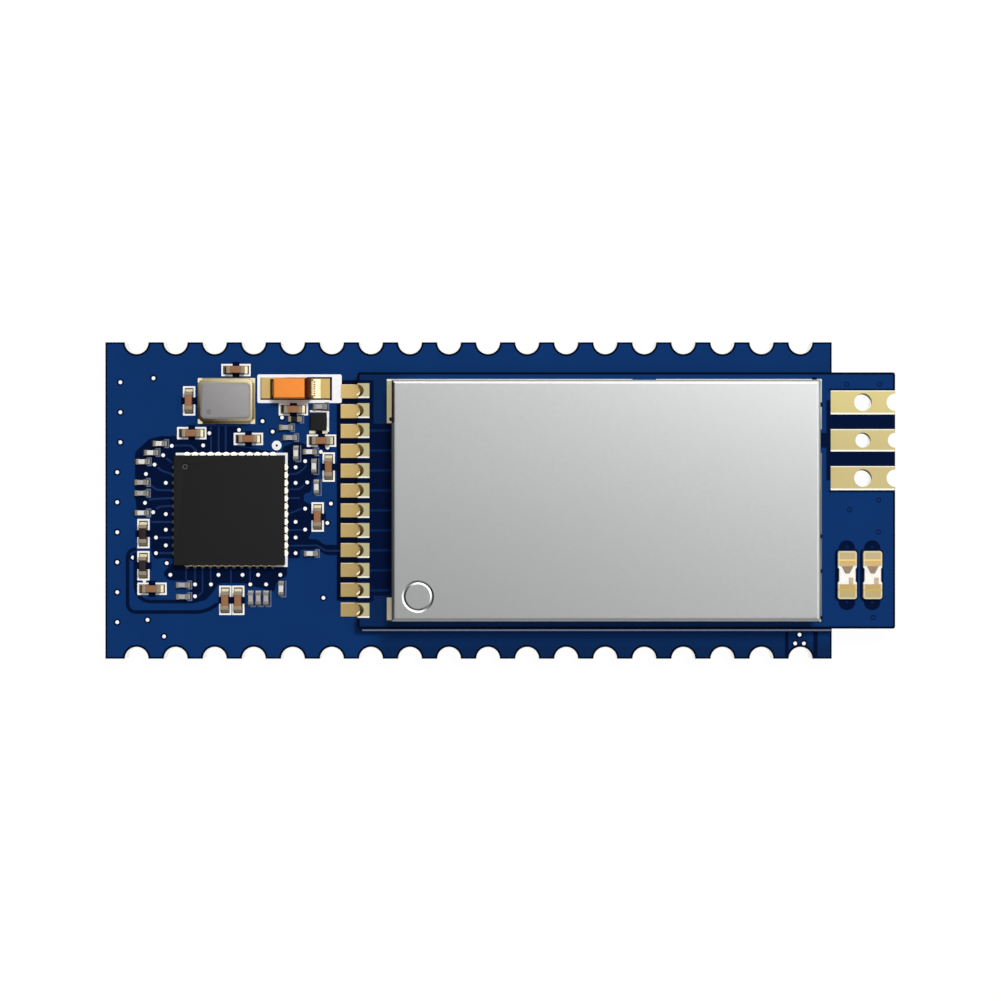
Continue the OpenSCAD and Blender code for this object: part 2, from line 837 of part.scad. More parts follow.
// Metal lid with a thin brim and a raised top
module oscillator_lid() {
    color("#98928f")
        at_places([oscillator_place], carrier_pad_z + osc_base_h + osc_ring_h) {
            linear_extrude(osc_lid_t)
                round_rect(osc_lid_w, osc_lid_d, 1.5 * osc_corner_r);
            linear_extrude(2 * osc_lid_t)
                round_rect(osc_lid_w - 2 * osc_brim, osc_lid_d - 2 * osc_brim, osc_corner_r);
        }
}

// Tantalum capacitor

tantalum_part = tantalum_h / 2;

// Section of the moulded body: widest at its parting line
module drafted_section(w) {
    polygon([[-w / 2 + tantalum_draft, 0], [w / 2 - tantalum_draft, 0], [w / 2, tantalum_part],
             [w / 2 - tantalum_draft, tantalum_h], [-w / 2 + tantalum_draft, tantalum_h], [-w / 2, tantalum_part]]);
}

module tantalum_body() {
    color("#f08c32")
        at_places([tantalum_place], carrier_pad_z + strap_t)
            translate([tantalum_offset, tantalum_side])
                intersection() {
                    translate([0, tantalum_w / 2, 0])
                        rotate([90, 0, 0])
                            linear_extrude(tantalum_w)
                                drafted_section(tantalum_l);
                    translate([-tantalum_l / 2, 0, 0])
                        rotate([90, 0, 90])
                            linear_extrude(tantalum_l)
                                drafted_section(tantalum_w);
                }
}

// Terminal strips: down each end from the parting line and folded under the body
module tantalum_terminals() {
    color("#c9b787")
        at_places([tantalum_place], carrier_pad_z)
            translate([tantalum_offset, tantalum_side])
                for (side = [0, 1])
                    mirror([side, 0])
                        translate([0, strap_w / 2, 0])
                            rotate([90, 0, 0])
                                linear_extrude(strap_w) {
                                    translate([tantalum_l / 2, 0])
                                        square([strap_t, strap_t + tantalum_part]);
                                    translate([tantalum_l / 2 - foot_l, 0])
                                        square([foot_l + strap_t, strap_t]);
                                }
}

// Two-ended chip parts

// Body of a chip part, inside its metal ends
module two_end_body(l, w, h) {
    translate([0, 0, end_t])
        block(l - 2 * end_t, w - 2 * end_t, h - 2 * end_t);
}

// Metal caps over both ends of a chip part
module two_end_caps(l, w, h, cap) {
    for (side = [-1, 1])
        difference() {
            translate([side * (l - cap) / 2, 0, 0])
                block(cap, w, h);
            two_end_body(l, w, h);
        }
}

module capacitor_bodies() {
    color("#9a6a42")
        at_places(cap_places, carrier_pad_z)
            two_end_body(cap_l, cap_w, cap_h);
}

module capacitor_terminals() {
    color("#b9b0a6")
        at_places(cap_places, carrier_pad_z)
            two_end_caps(cap_l, cap_w, cap_h, cap_end);
}

module bead_bodies() {
    color("#2a2220")
        at_places(bead_places, carrier_pad_z)
            two_end_body(cap_l, cap_w, cap_h);
}

module bead_terminals() {
    color("#a08f75")
        at_places(bead_places, carrier_pad_z)
            two_end_caps(cap_l, cap_w, cap_h, cap_end);
}

module small_part_bodies() {
    color("#d8d4cc")
        at_places(small_places, carrier_pad_z)
            two_end_body(small_l, small_w, small_h);
}

module small_part_terminals() {
    color("#b5b1a8")
        at_places(small_places, carrier_pad_z)
            two_end_caps(small_l, small_w, small_h, small_end);
}

module diode_body() {
    color("#1d1d20")
        at_places([diode_place], carrier_pad_z)
            two_end_body(small_l, small_w, small_h);
}

module diode_terminals() {
    color("#c8c6c0")
        at_places([diode_place], carrier_pad_z)
            two_end_caps(small_l, small_w, small_h, small_end);
}

// Voltage regulator

module regulator_lead_shapes() {
    for (x = [-1, 1], y = [-1, 1])
        translate([x * (reg_w - reg_lead_w) / 2, y * (reg_d - reg_lead_l) / 2])
            square([reg_lead_w, reg_lead_l], center = true);
}

module regulator_body() {
    color("#2b2a2c")
        at_places([regulator_place], carrier_pad_z) {
            translate([0, 0, reg_lead_t])
                block(reg_w, reg_d, reg_h - reg_lead_t);
            linear_extrude(reg_lead_t)
                difference() {
                    square([reg_w, reg_d], center = true);
                    regulator_lead_shapes();
                }
        }
}

module regulator_leads() {
    color("#cfc6ad")
        at_places([regulator_place], carrier_pad_z)
            linear_extrude(reg_lead_t)
                regulator_lead_shapes();
}

// Indicator lights, drawn along X

led_corner_r = 0.16;

module led_outline() {
    square([led_l - 2 * led_corner_r, led_waist], center = true);
    for (side = [-1, 1])
        translate([side * (led_l - led_end_l) / 2, 0])
            round_rect(led_end_l, led_w, led_corner_r);
}

module led_bases() {
    color("#ecebe6")
        at_places(led_places, radio_pad_z)
            linear_extrude(led_base_h)
                led_outline();
}

// Gold on the base's top: an end field on both sides, one with a pointed tongue and one with a side finger
module led_terminals() {
    field_l = led_end_l - 0.2;
    field_x = led_l / 2 - field_l;
    tongue_l = 0.48;
    tongue_w = 0.76;
    tip_w = 0.26;
    finger_l = 0.42;
    finger_w = 0.28;
    color("#d6bb78")
        at_places(led_places, radio_pad_z + led_base_h)
            linear_extrude(copper_t) {
                intersection() {
                    led_outline();
                    for (side = [-1, 1])
                        translate([side * (led_l - field_l) / 2, 0])
                            square([field_l, led_w], center = true);
                }
                polygon([[field_x, -tongue_w / 2], [field_x, tongue_w / 2],
                         [field_x - tongue_l, tip_w / 2], [field_x - tongue_l, -tip_w / 2]]);
                translate([-field_x, -led_waist / 2 + finger_w / 2])
                    square([finger_l, finger_w]);
            }
}

// Clear lens over the middle of each light, with drafted ends
module led_lenses() {
    lens_draft = 0.08;
    color("#f6f6f2")
        at_places(led_places, radio_pad_z + led_base_h + copper_t)
            translate([0, led_waist / 2, 0])
                rotate([90, 0, 0])
                    linear_extrude(led_waist)
                        polygon([[-led_lens_l / 2, 0], [led_lens_l / 2, 0],
                                 [led_lens_l / 2 - lens_draft, led_lens_h],
                                 [-led_lens_l / 2 + lens_draft, led_lens_h]]);
}

// Parts under the shield

module transceiver_body() {
    color("#2a2a2c")
        translate([radio_chip_x, 0, radio_pad_z])
            chip_body(radio_chip_w, radio_chip_h, radio_heat_lead_n, radio_heat_w);
}

module transceiver_leads() {
    color("#cfc6ad")
        translate([radio_chip_x, 0, radio_pad_z])
            linear_extrude(lead_t)
                chip_lead_shapes(radio_chip_w, radio_heat_lead_n);
}

module transceiver_heat_pad() {
    color("#cfc6ad")
        translate([radio_chip_x, 0, radio_pad_z])
            block(radio_heat_w, radio_heat_w, lead_t);
}

module crystal_base() {
    color("#4a4038")
        translate([radio_chip_x, crystal_y, radio_pad_z])
            block(crystal_w, crystal_d, crystal_base_h);
}

module crystal_lid() {
    lid_in = 0.12;
    lid_corner_r = 0.2;
    color("#a8a6a2")
        translate([radio_chip_x, crystal_y, radio_pad_z + crystal_base_h])
            linear_extrude(crystal_lid_h)
                round_rect(crystal_w - 2 * lid_in, crystal_d - 2 * lid_in, lid_corner_r);
}

module balun_body() {
    color("#d8d6cf")
        translate([balun_x, antenna_y - antenna_pitch, radio_pad_z])
            two_end_body(balun_l, balun_w, balun_h);
}

module balun_terminals() {
    color("#b5b1a8")
        translate([balun_x, antenna_y - antenna_pitch, radio_pad_z])
            two_end_caps(balun_l, balun_w, balun_h, balun_end);
}

module decoupling_bodies() {
    color("#9a6a42")
        at_places(decouple_places, radio_pad_z)
            two_end_body(cap_l, cap_w, cap_h);
}

module decoupling_terminals() {
    color("#b9b0a6")
        at_places(decouple_places, radio_pad_z)
            two_end_caps(cap_l, cap_w, cap_h, cap_end);
}

carrier_board();
carrier_contacts();
landing_pads();
component_pads();
radio_board();
radio_contacts();
solder_joints();
antenna_contacts();
radio_component_pads();
shield_pads();
shield_can();
controller_body();
controller_leads();
controller_heat_pad();
oscillator_base();
oscillator_seal_ring();
oscillator_lid();
tantalum_body();
tantalum_terminals();
capacitor_bodies();
capacitor_terminals();
bead_bodies();
bead_terminals();
small_part_bodies();
small_part_terminals();
diode_body();
diode_terminals();
regulator_body();
regulator_leads();
led_bases();
led_terminals();
led_lenses();
transceiver_body();
transceiver_leads();
transceiver_heat_pad();
crystal_base();
crystal_lid();
balun_body();
balun_terminals();
decoupling_bodies();
decoupling_terminals();
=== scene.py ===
import math

import bpy
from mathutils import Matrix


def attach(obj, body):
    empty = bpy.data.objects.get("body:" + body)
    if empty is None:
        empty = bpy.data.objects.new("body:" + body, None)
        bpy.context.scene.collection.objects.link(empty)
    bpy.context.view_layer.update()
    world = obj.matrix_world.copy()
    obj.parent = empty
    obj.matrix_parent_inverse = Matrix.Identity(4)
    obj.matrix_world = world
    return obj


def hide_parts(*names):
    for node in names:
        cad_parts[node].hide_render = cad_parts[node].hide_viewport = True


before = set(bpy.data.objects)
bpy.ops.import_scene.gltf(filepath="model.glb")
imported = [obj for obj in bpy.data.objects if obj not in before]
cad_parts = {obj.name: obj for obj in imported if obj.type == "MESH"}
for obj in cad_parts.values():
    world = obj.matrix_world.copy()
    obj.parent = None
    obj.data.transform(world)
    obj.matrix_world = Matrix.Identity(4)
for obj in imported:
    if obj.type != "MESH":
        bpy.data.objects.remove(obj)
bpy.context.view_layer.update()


# Carrier board: glass-fibre laminate under blue solder mask, routed to shape and drilled.
# The mask stops short of the routed edge and of each half hole, so a dark line runs round the outline.
MM = 0.001
CARRIER_TOP = 1.6
CARRIER_HALF_W, CARRIER_HALF_D = 23.25, 10.13
CONTACT_PITCH, LAST_CONTACT_X, CONTACT_CLEAR_R = 2.5, 21.25, 0.89
EDGE_WALL = 0.12
MASK_BLUE = (12, 49, 103)
ROUTED_LINE = (0, 6, 28)
LAMINATE = (150, 138, 96)
PLATED_BORE = (255, 255, 255)


def colour(tone):
    channels = [c / 255 for c in tone]
    return tuple(c / 12.92 if c <= 0.04045 else ((c + 0.055) / 1.055) ** 2.4 for c in channels) + (1,)


def shade(tone, factor):
    return tuple(min(255, c * factor) for c in tone)


def new_finish(name, metallic=1, roughness=0.4, specular=0.5):
    finish = bpy.data.materials.new(name)
    finish.use_nodes = True
    shader = finish.node_tree.nodes["Principled BSDF"]
    shader.inputs["Metallic"].default_value = metallic
    shader.inputs["Roughness"].default_value = roughness
    shader.inputs["Specular IOR Level"].default_value = specular
    return finish, finish.node_tree, shader


def calc(tree, operation, *values):
    node = tree.nodes.new("ShaderNodeMath")
    node.operation = operation
    for socket, value in zip(node.inputs, values):
        if isinstance(value, (int, float)):
            socket.default_value = value
        else:
            tree.links.new(value, socket)
    return node.outputs[0]


def away(tree, value, centre=0):
    return calc(tree, "ABSOLUTE", calc(tree, "SUBTRACT", value, centre))


def tint(tree, factor, first, second):
    node = tree.nodes.new("ShaderNodeMix")
    node.data_type = "RGBA"
    tree.links.new(factor, node.inputs[0])
    for socket, tone in ((node.inputs[6], first), (node.inputs[7], second)):
        if isinstance(tone, tuple):
            socket.default_value = colour(tone)
        else:
            tree.links.new(tone, socket)
    return node.outputs[2]


def soft_step(tree, value, start, end):
    node = tree.nodes.new("ShaderNodeMapRange")
    tree.links.new(value, node.inputs["Value"])
    node.inputs["From Min"].default_value = start
    node.inputs["From Max"].default_value = end
    return node.outputs[0]


def coordinates(tree, kind="Object"):
    return tree.nodes.new("ShaderNodeTexCoord").outputs[kind]


def axes(tree, kind="Object"):
    split = tree.nodes.new("ShaderNodeSeparateXYZ")
    tree.links.new(coordinates(tree, kind), split.inputs[0])
    return tuple(split.outputs)


def in_mm(tree, axis, centre=0):
    return calc(tree, "MULTIPLY_ADD", axis, 1 / MM, -centre)


def speckle(tree, size_mm, detail=3.0):
    noise = tree.nodes.new("ShaderNodeTexNoise")
    noise.inputs["Scale"].default_value = 1 / (size_mm * MM)
    noise.inputs["Detail"].default_value = detail
    tree.links.new(coordinates(tree), noise.inputs["Vector"])
    return noise.outputs["Fac"]


def paint(tree, shader, tone, grain, depth_mm=0.004, strength=0.3):
    tree.links.new(tone, shader.inputs["Base Color"])
    bump = tree.nodes.new("ShaderNodeBump")
    bump.inputs["Strength"].default_value = strength
    bump.inputs["Distance"].default_value = depth_mm * MM
    tree.links.new(grain, bump.inputs["Height"])
    tree.links.new(bump.outputs["Normal"], shader.inputs["Normal"])


def masked_board_finish(name, middle_x, half_w, half_d, edge_line, painted_shadow_x, painted_shadow_y, hole_line=None):
    finish, tree, shader = new_finish(name, 0, 0.42, 0.03)
    x_axis, y_axis, _ = axes(tree)
    x, y = in_mm(tree, x_axis, middle_x), in_mm(tree, y_axis)
    past_x = calc(tree, "SUBTRACT", away(tree, x), half_w)
    past_y = calc(tree, "SUBTRACT", away(tree, y), half_d)
    rim = calc(tree, "MAXIMUM", past_x, past_y)
    bare = calc(tree, "GREATER_THAN", rim, -edge_line)
    if hole_line:
        pitch, last_x, reach = hole_line
        along = calc(tree, "PINGPONG", calc(tree, "ADD", x, last_x), pitch / 2)
        along = calc(tree, "MAXIMUM", along, calc(tree, "SUBTRACT", away(tree, x), last_x))
        squared = calc(tree, "MULTIPLY_ADD", along, along, calc(tree, "MULTIPLY", past_y, past_y))
        bare = calc(tree, "MAXIMUM", bare, calc(tree, "LESS_THAN", squared, reach * reach))
    blue = tint(tree, speckle(tree, 3.0), shade(MASK_BLUE, 0.94), shade(MASK_BLUE, 1.06))
    # Painted shadow: the mask is darkened towards one corner, where the parts standing above it throw their shadow.
    painted_shadow = calc(tree, "MULTIPLY", soft_step(tree, x, *painted_shadow_x), soft_step(tree, y, *painted_shadow_y))
    blue = tint(tree, painted_shadow, blue, shade(MASK_BLUE, 0.78))
    face = tint(tree, bare, blue, ROUTED_LINE)
    side = calc(tree, "LESS_THAN", away(tree, axes(tree, "Normal")[2]), 0.5)
    outer = calc(tree, "GREATER_THAN", rim, -EDGE_WALL)
    plies = tree.nodes.new("ShaderNodeTexWave")
    plies.bands_direction = "Z"
    plies.inputs["Scale"].default_value = 1800
    plies.inputs["Distortion"].default_value = 1.5
    tree.links.new(coordinates(tree), plies.inputs["Vector"])
    wall = tint(tree, outer, PLATED_BORE, tint(tree, plies.outputs["Fac"], LAMINATE, shade(LAMINATE, 0.7)))
    plated = calc(tree, "MULTIPLY", side, calc(tree, "SUBTRACT", 1, outer))
    tree.links.new(plated, shader.inputs["Metallic"])
    tree.links.new(calc(tree, "MULTIPLY_ADD", plated, -0.34, 0.42), shader.inputs["Roughness"])
    weave = calc(tree, "MULTIPLY_ADD", speckle(tree, 0.05, 2.0), 0.4, speckle(tree, 0.35, 2.0))
    paint(tree, shader, tint(tree, side, face, wall), weave, 0.01, 0.25)
    return finish


def dress(node, finish):
    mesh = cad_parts[node].data
    if mesh.materials:
        mesh.materials[0] = finish
    else:
        mesh.materials.append(finish)


# On the carrier the darkened corner is the strip below the radio board: painted shadow of the radio board and its can.
carrier_finish = masked_board_finish("carrier_mask", 0, CARRIER_HALF_W, CARRIER_HALF_D, 0.11, (-6.8, -5.3),
                                     (-8.5, -9.5), (CONTACT_PITCH, LAST_CONTACT_X, CONTACT_CLEAR_R))
dress("carrier_board", carrier_finish)


# Gold plating: immersion gold over copper on the edge contacts and on every solder pad of the carrier.
# It is a matte pale yellow with a fine grain. The pads at the chip's leads are tinned, with painted light and shade on
# them: light above and right of the chip, dull and dark below it, dark on its left.
PLATE_GOLD = (205, 175, 112)
CHIP_X, CHIP_Y, CHIP_HALF = -15.26, -0.62, 3.5
LEAD_PADS_HALF = 3.9


def grained_finish(name, tone, spread, metallic=0, roughness=0.5, specular=0.2, grain_mm=0.08,
                   depth_mm=0.003, strength=0.3):
    finish, tree, shader = new_finish(name, metallic, roughness, specular)
    grain = speckle(tree, grain_mm)
    broad = speckle(tree, grain_mm * 6, 2.0)
    mixed = calc(tree, "MULTIPLY_ADD", broad, 0.5, calc(tree, "MULTIPLY", grain, 0.5))
    paint(tree, shader, tint(tree, mixed, shade(tone, 1 - spread), shade(tone, 1 + spread)), grain, depth_mm, strength)
    tree.links.new(calc(tree, "MULTIPLY_ADD", grain, 0.16, roughness - 0.08), shader.inputs["Roughness"])
    return finish


def metal_finish(name, tone, spread, roughness=0.4, grain_mm=0.06, depth_mm=0.003):
    return grained_finish(name, tone, spread, 1, roughness, 0.5, grain_mm, depth_mm)


# Painted light and shade round the chip: a lit tone above and right of it, a dull and a dark tone below it, dark on
# its left.
def beside_chip(tree, bright, dull, dark):
    x_axis, y_axis, _ = axes(tree)
    x, y = in_mm(tree, x_axis, CHIP_X), in_mm(tree, y_axis, CHIP_Y)
    left = calc(tree, "LESS_THAN", x, 0.1 - CHIP_HALF)
    below = calc(tree, "LESS_THAN", y, 0.1 - CHIP_HALF)
    reach = calc(tree, "MAXIMUM", away(tree, x), away(tree, y))
    shaded = tint(tree, calc(tree, "GREATER_THAN", reach, CHIP_HALF + 0.11), dull, dark)
    tone = tint(tree, left, tint(tree, below, bright, shaded), dark)
    return calc(tree, "LESS_THAN", reach, LEAD_PADS_HALF), tone


gold_finish, gold_tree, gold_shader = new_finish("gold_plate", roughness=0.42)
grain = speckle(gold_tree, 0.08)
gold = tint(gold_tree, grain, shade(PLATE_GOLD, 0.96), shade(PLATE_GOLD, 1.03))
near_chip, lead_tone = beside_chip(gold_tree, (222, 216, 194), (176, 165, 128), (64, 66, 72))
paint(gold_tree, gold_shader, tint(gold_tree, near_chip, gold, lead_tone), grain)
dress("component_pads", gold_finish)
landing_finish, landing_tree, landing_shader = new_finish("landing_gold", roughness=0.42)
# Painted shade: the landing pads darken steadily towards the bottom of the row, with a broad random grain over it.
shade_and_grain = calc(landing_tree, "MULTIPLY_ADD", axes(landing_tree)[1], -1 / 0.015, 0.4)
shade_and_grain = calc(landing_tree, "MULTIPLY_ADD", speckle(landing_tree, 0.3), 0.3, shade_and_grain)
tone = tint(landing_tree, shade_and_grain, (211, 181, 117), (176, 153, 101))
paint(landing_tree, landing_shader, tone, speckle(landing_tree, 0.08))
dress("landing_pads", landing_finish)
dress("carrier_contacts", metal_finish("contact_plate", (238, 236, 230), 0.03, 0.3, 0.08, 0.004))


# Bare windows of the carrier: where the copper pour is etched away the mask lies on dark laminate.
# They surround the chip's leads, the row of landing pads, each larger chip part and each via.
BARE_NAVY = (3, 17, 50)
BARE_SKIN = {"roughness": 0.45, "specular": 0.02, "grain_mm": 0.3, "depth_mm": 0.006, "strength": 0.2}
WINDOW_FOOT = 1.598
LEFT_BANK = [(-20.46, 3.93), (-19.75, 4.12), (-18.6, 4.12), (-18.6, -3.75), (-19.56, -3.69), (-20.07, -3.75),
             (-20.33, -3.3), (-20.35, -1.0), (-21.23, -0.74), (-21.35, 0.28), (-21.35, 3.1)]
UPPER_BANK = [(-19.31, 4.12), (-17.45, 3.8), (-16.81, 4.76), (-14.82, 4.76), (-14.82, 3.48), (-13.22, 3.23),
              (-12.33, 3.1), (-12.33, 2.6), (-18.99, 2.6)]
RIGHT_BANK = [(-11.9, 3.42), (-10.98, 3.8), (-10.02, 3.42), (-9.6, 2.95), (-9.5, 1.6), (-10.02, 1.3),
              (-10.08, 0.55), (-10.55, 0.42), (-10.55, -0.05), (-10.08, -0.25), (-10.08, -2.1), (-10.3, -2.45),
              (-9.65, -2.5), (-9.25, -2.83), (-8.1, -2.86), (-8.1, -3.5), (-9.1, -3.5), (-9.7, -3.14),
              (-10.79, -3.14), (-10.79, -3.69), (-11.9, -3.69)]
LOWER_BANK = [(-19.56, -4.65), (-18.99, -4.0), (-11.62, -4.0), (-11.62, -4.84), (-12.26, -5.16), (-12.46, -5.86),
              (-13.22, -5.61), (-13.86, -5.48), (-14.25, -5.29), (-15.98, -5.29), (-16.36, -5.86), (-16.81, -6.38),
              (-17.58, -6.5), (-17.83, -5.99), (-17.83, -5.16), (-19.24, -5.1)]
CAPS_ACROSS = [(-14.885, 8.35), (-17.72, 4.31), (-14.09, 3.94), (-11.21, 5.84), (-9.41, 3.83), (-20.26, -5.65)]
CAPS_UPRIGHT = [(-17.885, 6.375), (-8.95, 2.14), (-9.655, -1.055)]
CAP_PAIR = [(-15.57, -6.39), (-14.74, -6.39)]
BEADS = [(-20.81, -2.12), (-20.81, -4.175)]
TANTALUM_Y = 7.155
VIA_R = 0.16


def beside(out, y):
    return (CHIP_X + math.copysign(CHIP_HALF, out) + out, CHIP_Y + y)


def beyond(x, out):
    return (CHIP_X + x, CHIP_Y + math.copysign(CHIP_HALF, out) + out)


VIAS = [(-CARRIER_HALF_W + (0.96 if i < 3 else 0.76), CARRIER_HALF_D - 2.56 - 1.92 * i) for i in range(9)]
VIAS += [(-20.17, 7.83), (-20.55, -7.64), (-19.49, -8.7)]
VIAS += [beside(-0.62, y) for y in (1.75, -0.25, -1.25, -2.25)]
VIAS += [beside(-1.25, y) for y in (-1.75, -2.75)]
VIAS += [beside(-0.24 - 0.55 * i, 4.12 - 0.6 * i) for i in range(4)]
VIAS += [beside(-1.95, 0.47), beside(-1.43, -0.13), beside(-2.73, -3.03), beside(-0.56, -3.39), beside(-0.33, -4.14)]
VIAS += [beside(0.69, y) for y in (2.75, 1.75, -0.75, -1.75, -2.75)]
VIAS += [beside(1.3, y) for y in (3.14, 0.1, -1.24)]
VIAS += [beside(1.43, 1.78), beside(2.95, 0.42), beside(2.72, -0.82), beside(2.74, 4), beside(2.31, 3.74)]
VIAS += [beside(2.47, -5.61), beyond(-1.73, 0.65), beyond(-1.32, 1.42), beyond(0.57, 1.64), beyond(2.07, 2.2)]
VIAS += [beyond(2.72, 1.53), beyond(3.32, 2.43)]
VIAS += [beyond(x, -0.64) for x in (-0.75, 0.79, 1.79, 3.21)]
VIAS += [beyond(x, -1.25) for x in (-2.25, -1.23, 1.29, 2.3)]
VIAS += [beyond(-2.25, -2.01), (20.91, -9.15), (21.47, -9.15), (21.19, -8.59)]


def pick(piece):
    bpy.ops.object.select_all(action="DESELECT")
    piece.select_set(True)
    bpy.context.view_layer.objects.active = piece


def start_edit():
    bpy.ops.object.mode_set(mode="EDIT")
    bpy.ops.mesh.select_all(action="SELECT")


def raise_faces(height):
    bpy.ops.mesh.extrude_region_move(TRANSFORM_OT_translate={"value": (0, 0, height * MM)})
    bpy.ops.mesh.select_all(action="SELECT")
    bpy.ops.mesh.normals_make_consistent(inside=False)
    bpy.ops.object.mode_set(mode="OBJECT")


def outline_slab(points, bottom, top, soften=0.0):
    bpy.ops.mesh.primitive_circle_add(vertices=len(points), radius=MM, fill_type="NGON")
    slab = bpy.context.object
    for corner, (x, y) in zip(slab.data.vertices, points):
        corner.co = (x * MM, y * MM, bottom * MM)
    start_edit()
    if soften:
        bpy.ops.mesh.bevel(affect="VERTICES", offset=soften * MM, segments=4)
        bpy.ops.mesh.select_all(action="SELECT")
    raise_faces(top - bottom)
    return slab


def oblong(x, y, w, d):
    return [(x - w / 2, y - d / 2), (x + w / 2, y - d / 2), (x + w / 2, y + d / 2), (x - w / 2, y + d / 2)]


def bars(places, w, d, bottom, top, soften=0.0):
    return [outline_slab(oblong(x, y, w, d), bottom, top, soften) for x, y in places]


def flat_ring(outer_r, line, bottom, top, steps):
    bpy.ops.mesh.primitive_circle_add(vertices=steps, radius=outer_r * MM, location=(0, 0, bottom * MM),
                                      fill_type="NGON")
    bpy.ops.object.transform_apply(location=True, rotation=True, scale=True)
    start_edit()
    bpy.ops.mesh.inset(thickness=line * MM)
    bpy.ops.mesh.delete(type="FACE")
    bpy.ops.mesh.select_all(action="SELECT")
    raise_faces(top - bottom)
    return bpy.context.object


def laid_out(pattern, places, turn=0):
    copies = []
    for x, y in places:
        copy = pattern.copy()
        copy.data = pattern.data.copy()
        bpy.context.scene.collection.objects.link(copy)
        copy.location = (x * MM, y * MM, 0)
        copy.rotation_euler = (0, 0, math.radians(turn))
        copies.append(copy)
    bpy.data.objects.remove(pattern)
    return copies


def cut(piece, cutter):
    pick(piece)
    opened = piece.modifiers.new("opened", "BOOLEAN")
    opened.operation = "DIFFERENCE"
    opened.object = cutter
    bpy.ops.object.modifier_apply(modifier="opened")


def joined(name, pieces):
    pick(pieces[0])
    for piece in pieces:
        piece.select_set(True)
    if len(pieces) > 1:
        bpy.ops.object.join()
    bpy.ops.object.transform_apply(location=True, rotation=True, scale=True)
    whole = bpy.context.object
    whole.name = name
    return whole


def add_piece(piece, finish, slot, *nodes):
    piece.data.materials.clear()
    piece.data.materials.append(finish)
    if nodes:
        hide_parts(*nodes)
    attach(piece, "root")


def add_joined(name, pieces, finish, slot):
    add_piece(joined(name, pieces), finish, slot)


bare_finish = grained_finish("carrier_bare", BARE_NAVY, 0.15, **BARE_SKIN)
bpy.ops.mesh.primitive_cylinder_add(vertices=20, radius=VIA_R * MM, depth=0.2 * MM, location=(0, 0, CARRIER_TOP * MM))
bpy.ops.object.transform_apply(location=True, rotation=True, scale=True)
drills = joined("drills", laid_out(bpy.context.object, VIAS))
windows = [outline_slab(points, WINDOW_FOOT, 1.603 + 0.003 * i, 0.15)
           for i, points in enumerate((LEFT_BANK, UPPER_BANK, RIGHT_BANK, LOWER_BANK))]
windows += bars(CAPS_ACROSS, 1.95, 0.86, WINDOW_FOOT, 1.615, 0.05)
windows += bars(CAPS_ACROSS, 0.5, 1.04, WINDOW_FOOT, 1.617, 0.05)
windows += bars(CAPS_UPRIGHT + BEADS[:1] + CAP_PAIR[:1], 0.86, 1.95, WINDOW_FOOT, 1.615, 0.05)
windows += bars(BEADS[1:] + CAP_PAIR[1:], 0.86, 1.95, WINDOW_FOOT, 1.618, 0.05)
windows += bars(CAPS_UPRIGHT + BEADS, 1.04, 0.5, WINDOW_FOOT, 1.6165, 0.05)
windows += bars([(-10.95, TANTALUM_Y)], 4.9, 1.6, WINDOW_FOOT, 1.612)
windows += bars([(20.37, -9.22)], 0.22, 1.76, WINDOW_FOOT, 1.604)
windows += bars([(22.21, -9.22)], 0.28, 1.76, WINDOW_FOOT, 1.604)
for window in windows:
    cut(window, drills)
bpy.data.objects.remove(drills)
windows += laid_out(flat_ring(0.22, 0.1, WINDOW_FOOT, 1.621, 20), VIAS)
windows += bars([(-8.805, TANTALUM_Y)], 0.13, 1.5, CARRIER_TOP, 1.6435)
windows += bars([(-9.55, 7.85)], 1.55, 0.1, CARRIER_TOP, 1.6425)
add_joined("carrier_windows", windows, bare_finish, "carrier_mask")
# Painted shadow: the gap beside the landing pads, under the radio board's edge, is a darker navy than the other
# windows.
shaded_gap_finish = grained_finish("carrier_shaded_gap", (2, 11, 37), 0.15, **BARE_SKIN)
landing_gap = bars([(-7.655, 0.64)], 1.57, 14.12, WINDOW_FOOT, 1.612, 0.08)
add_joined("landing_window", landing_gap, shaded_gap_finish, "carrier_mask")


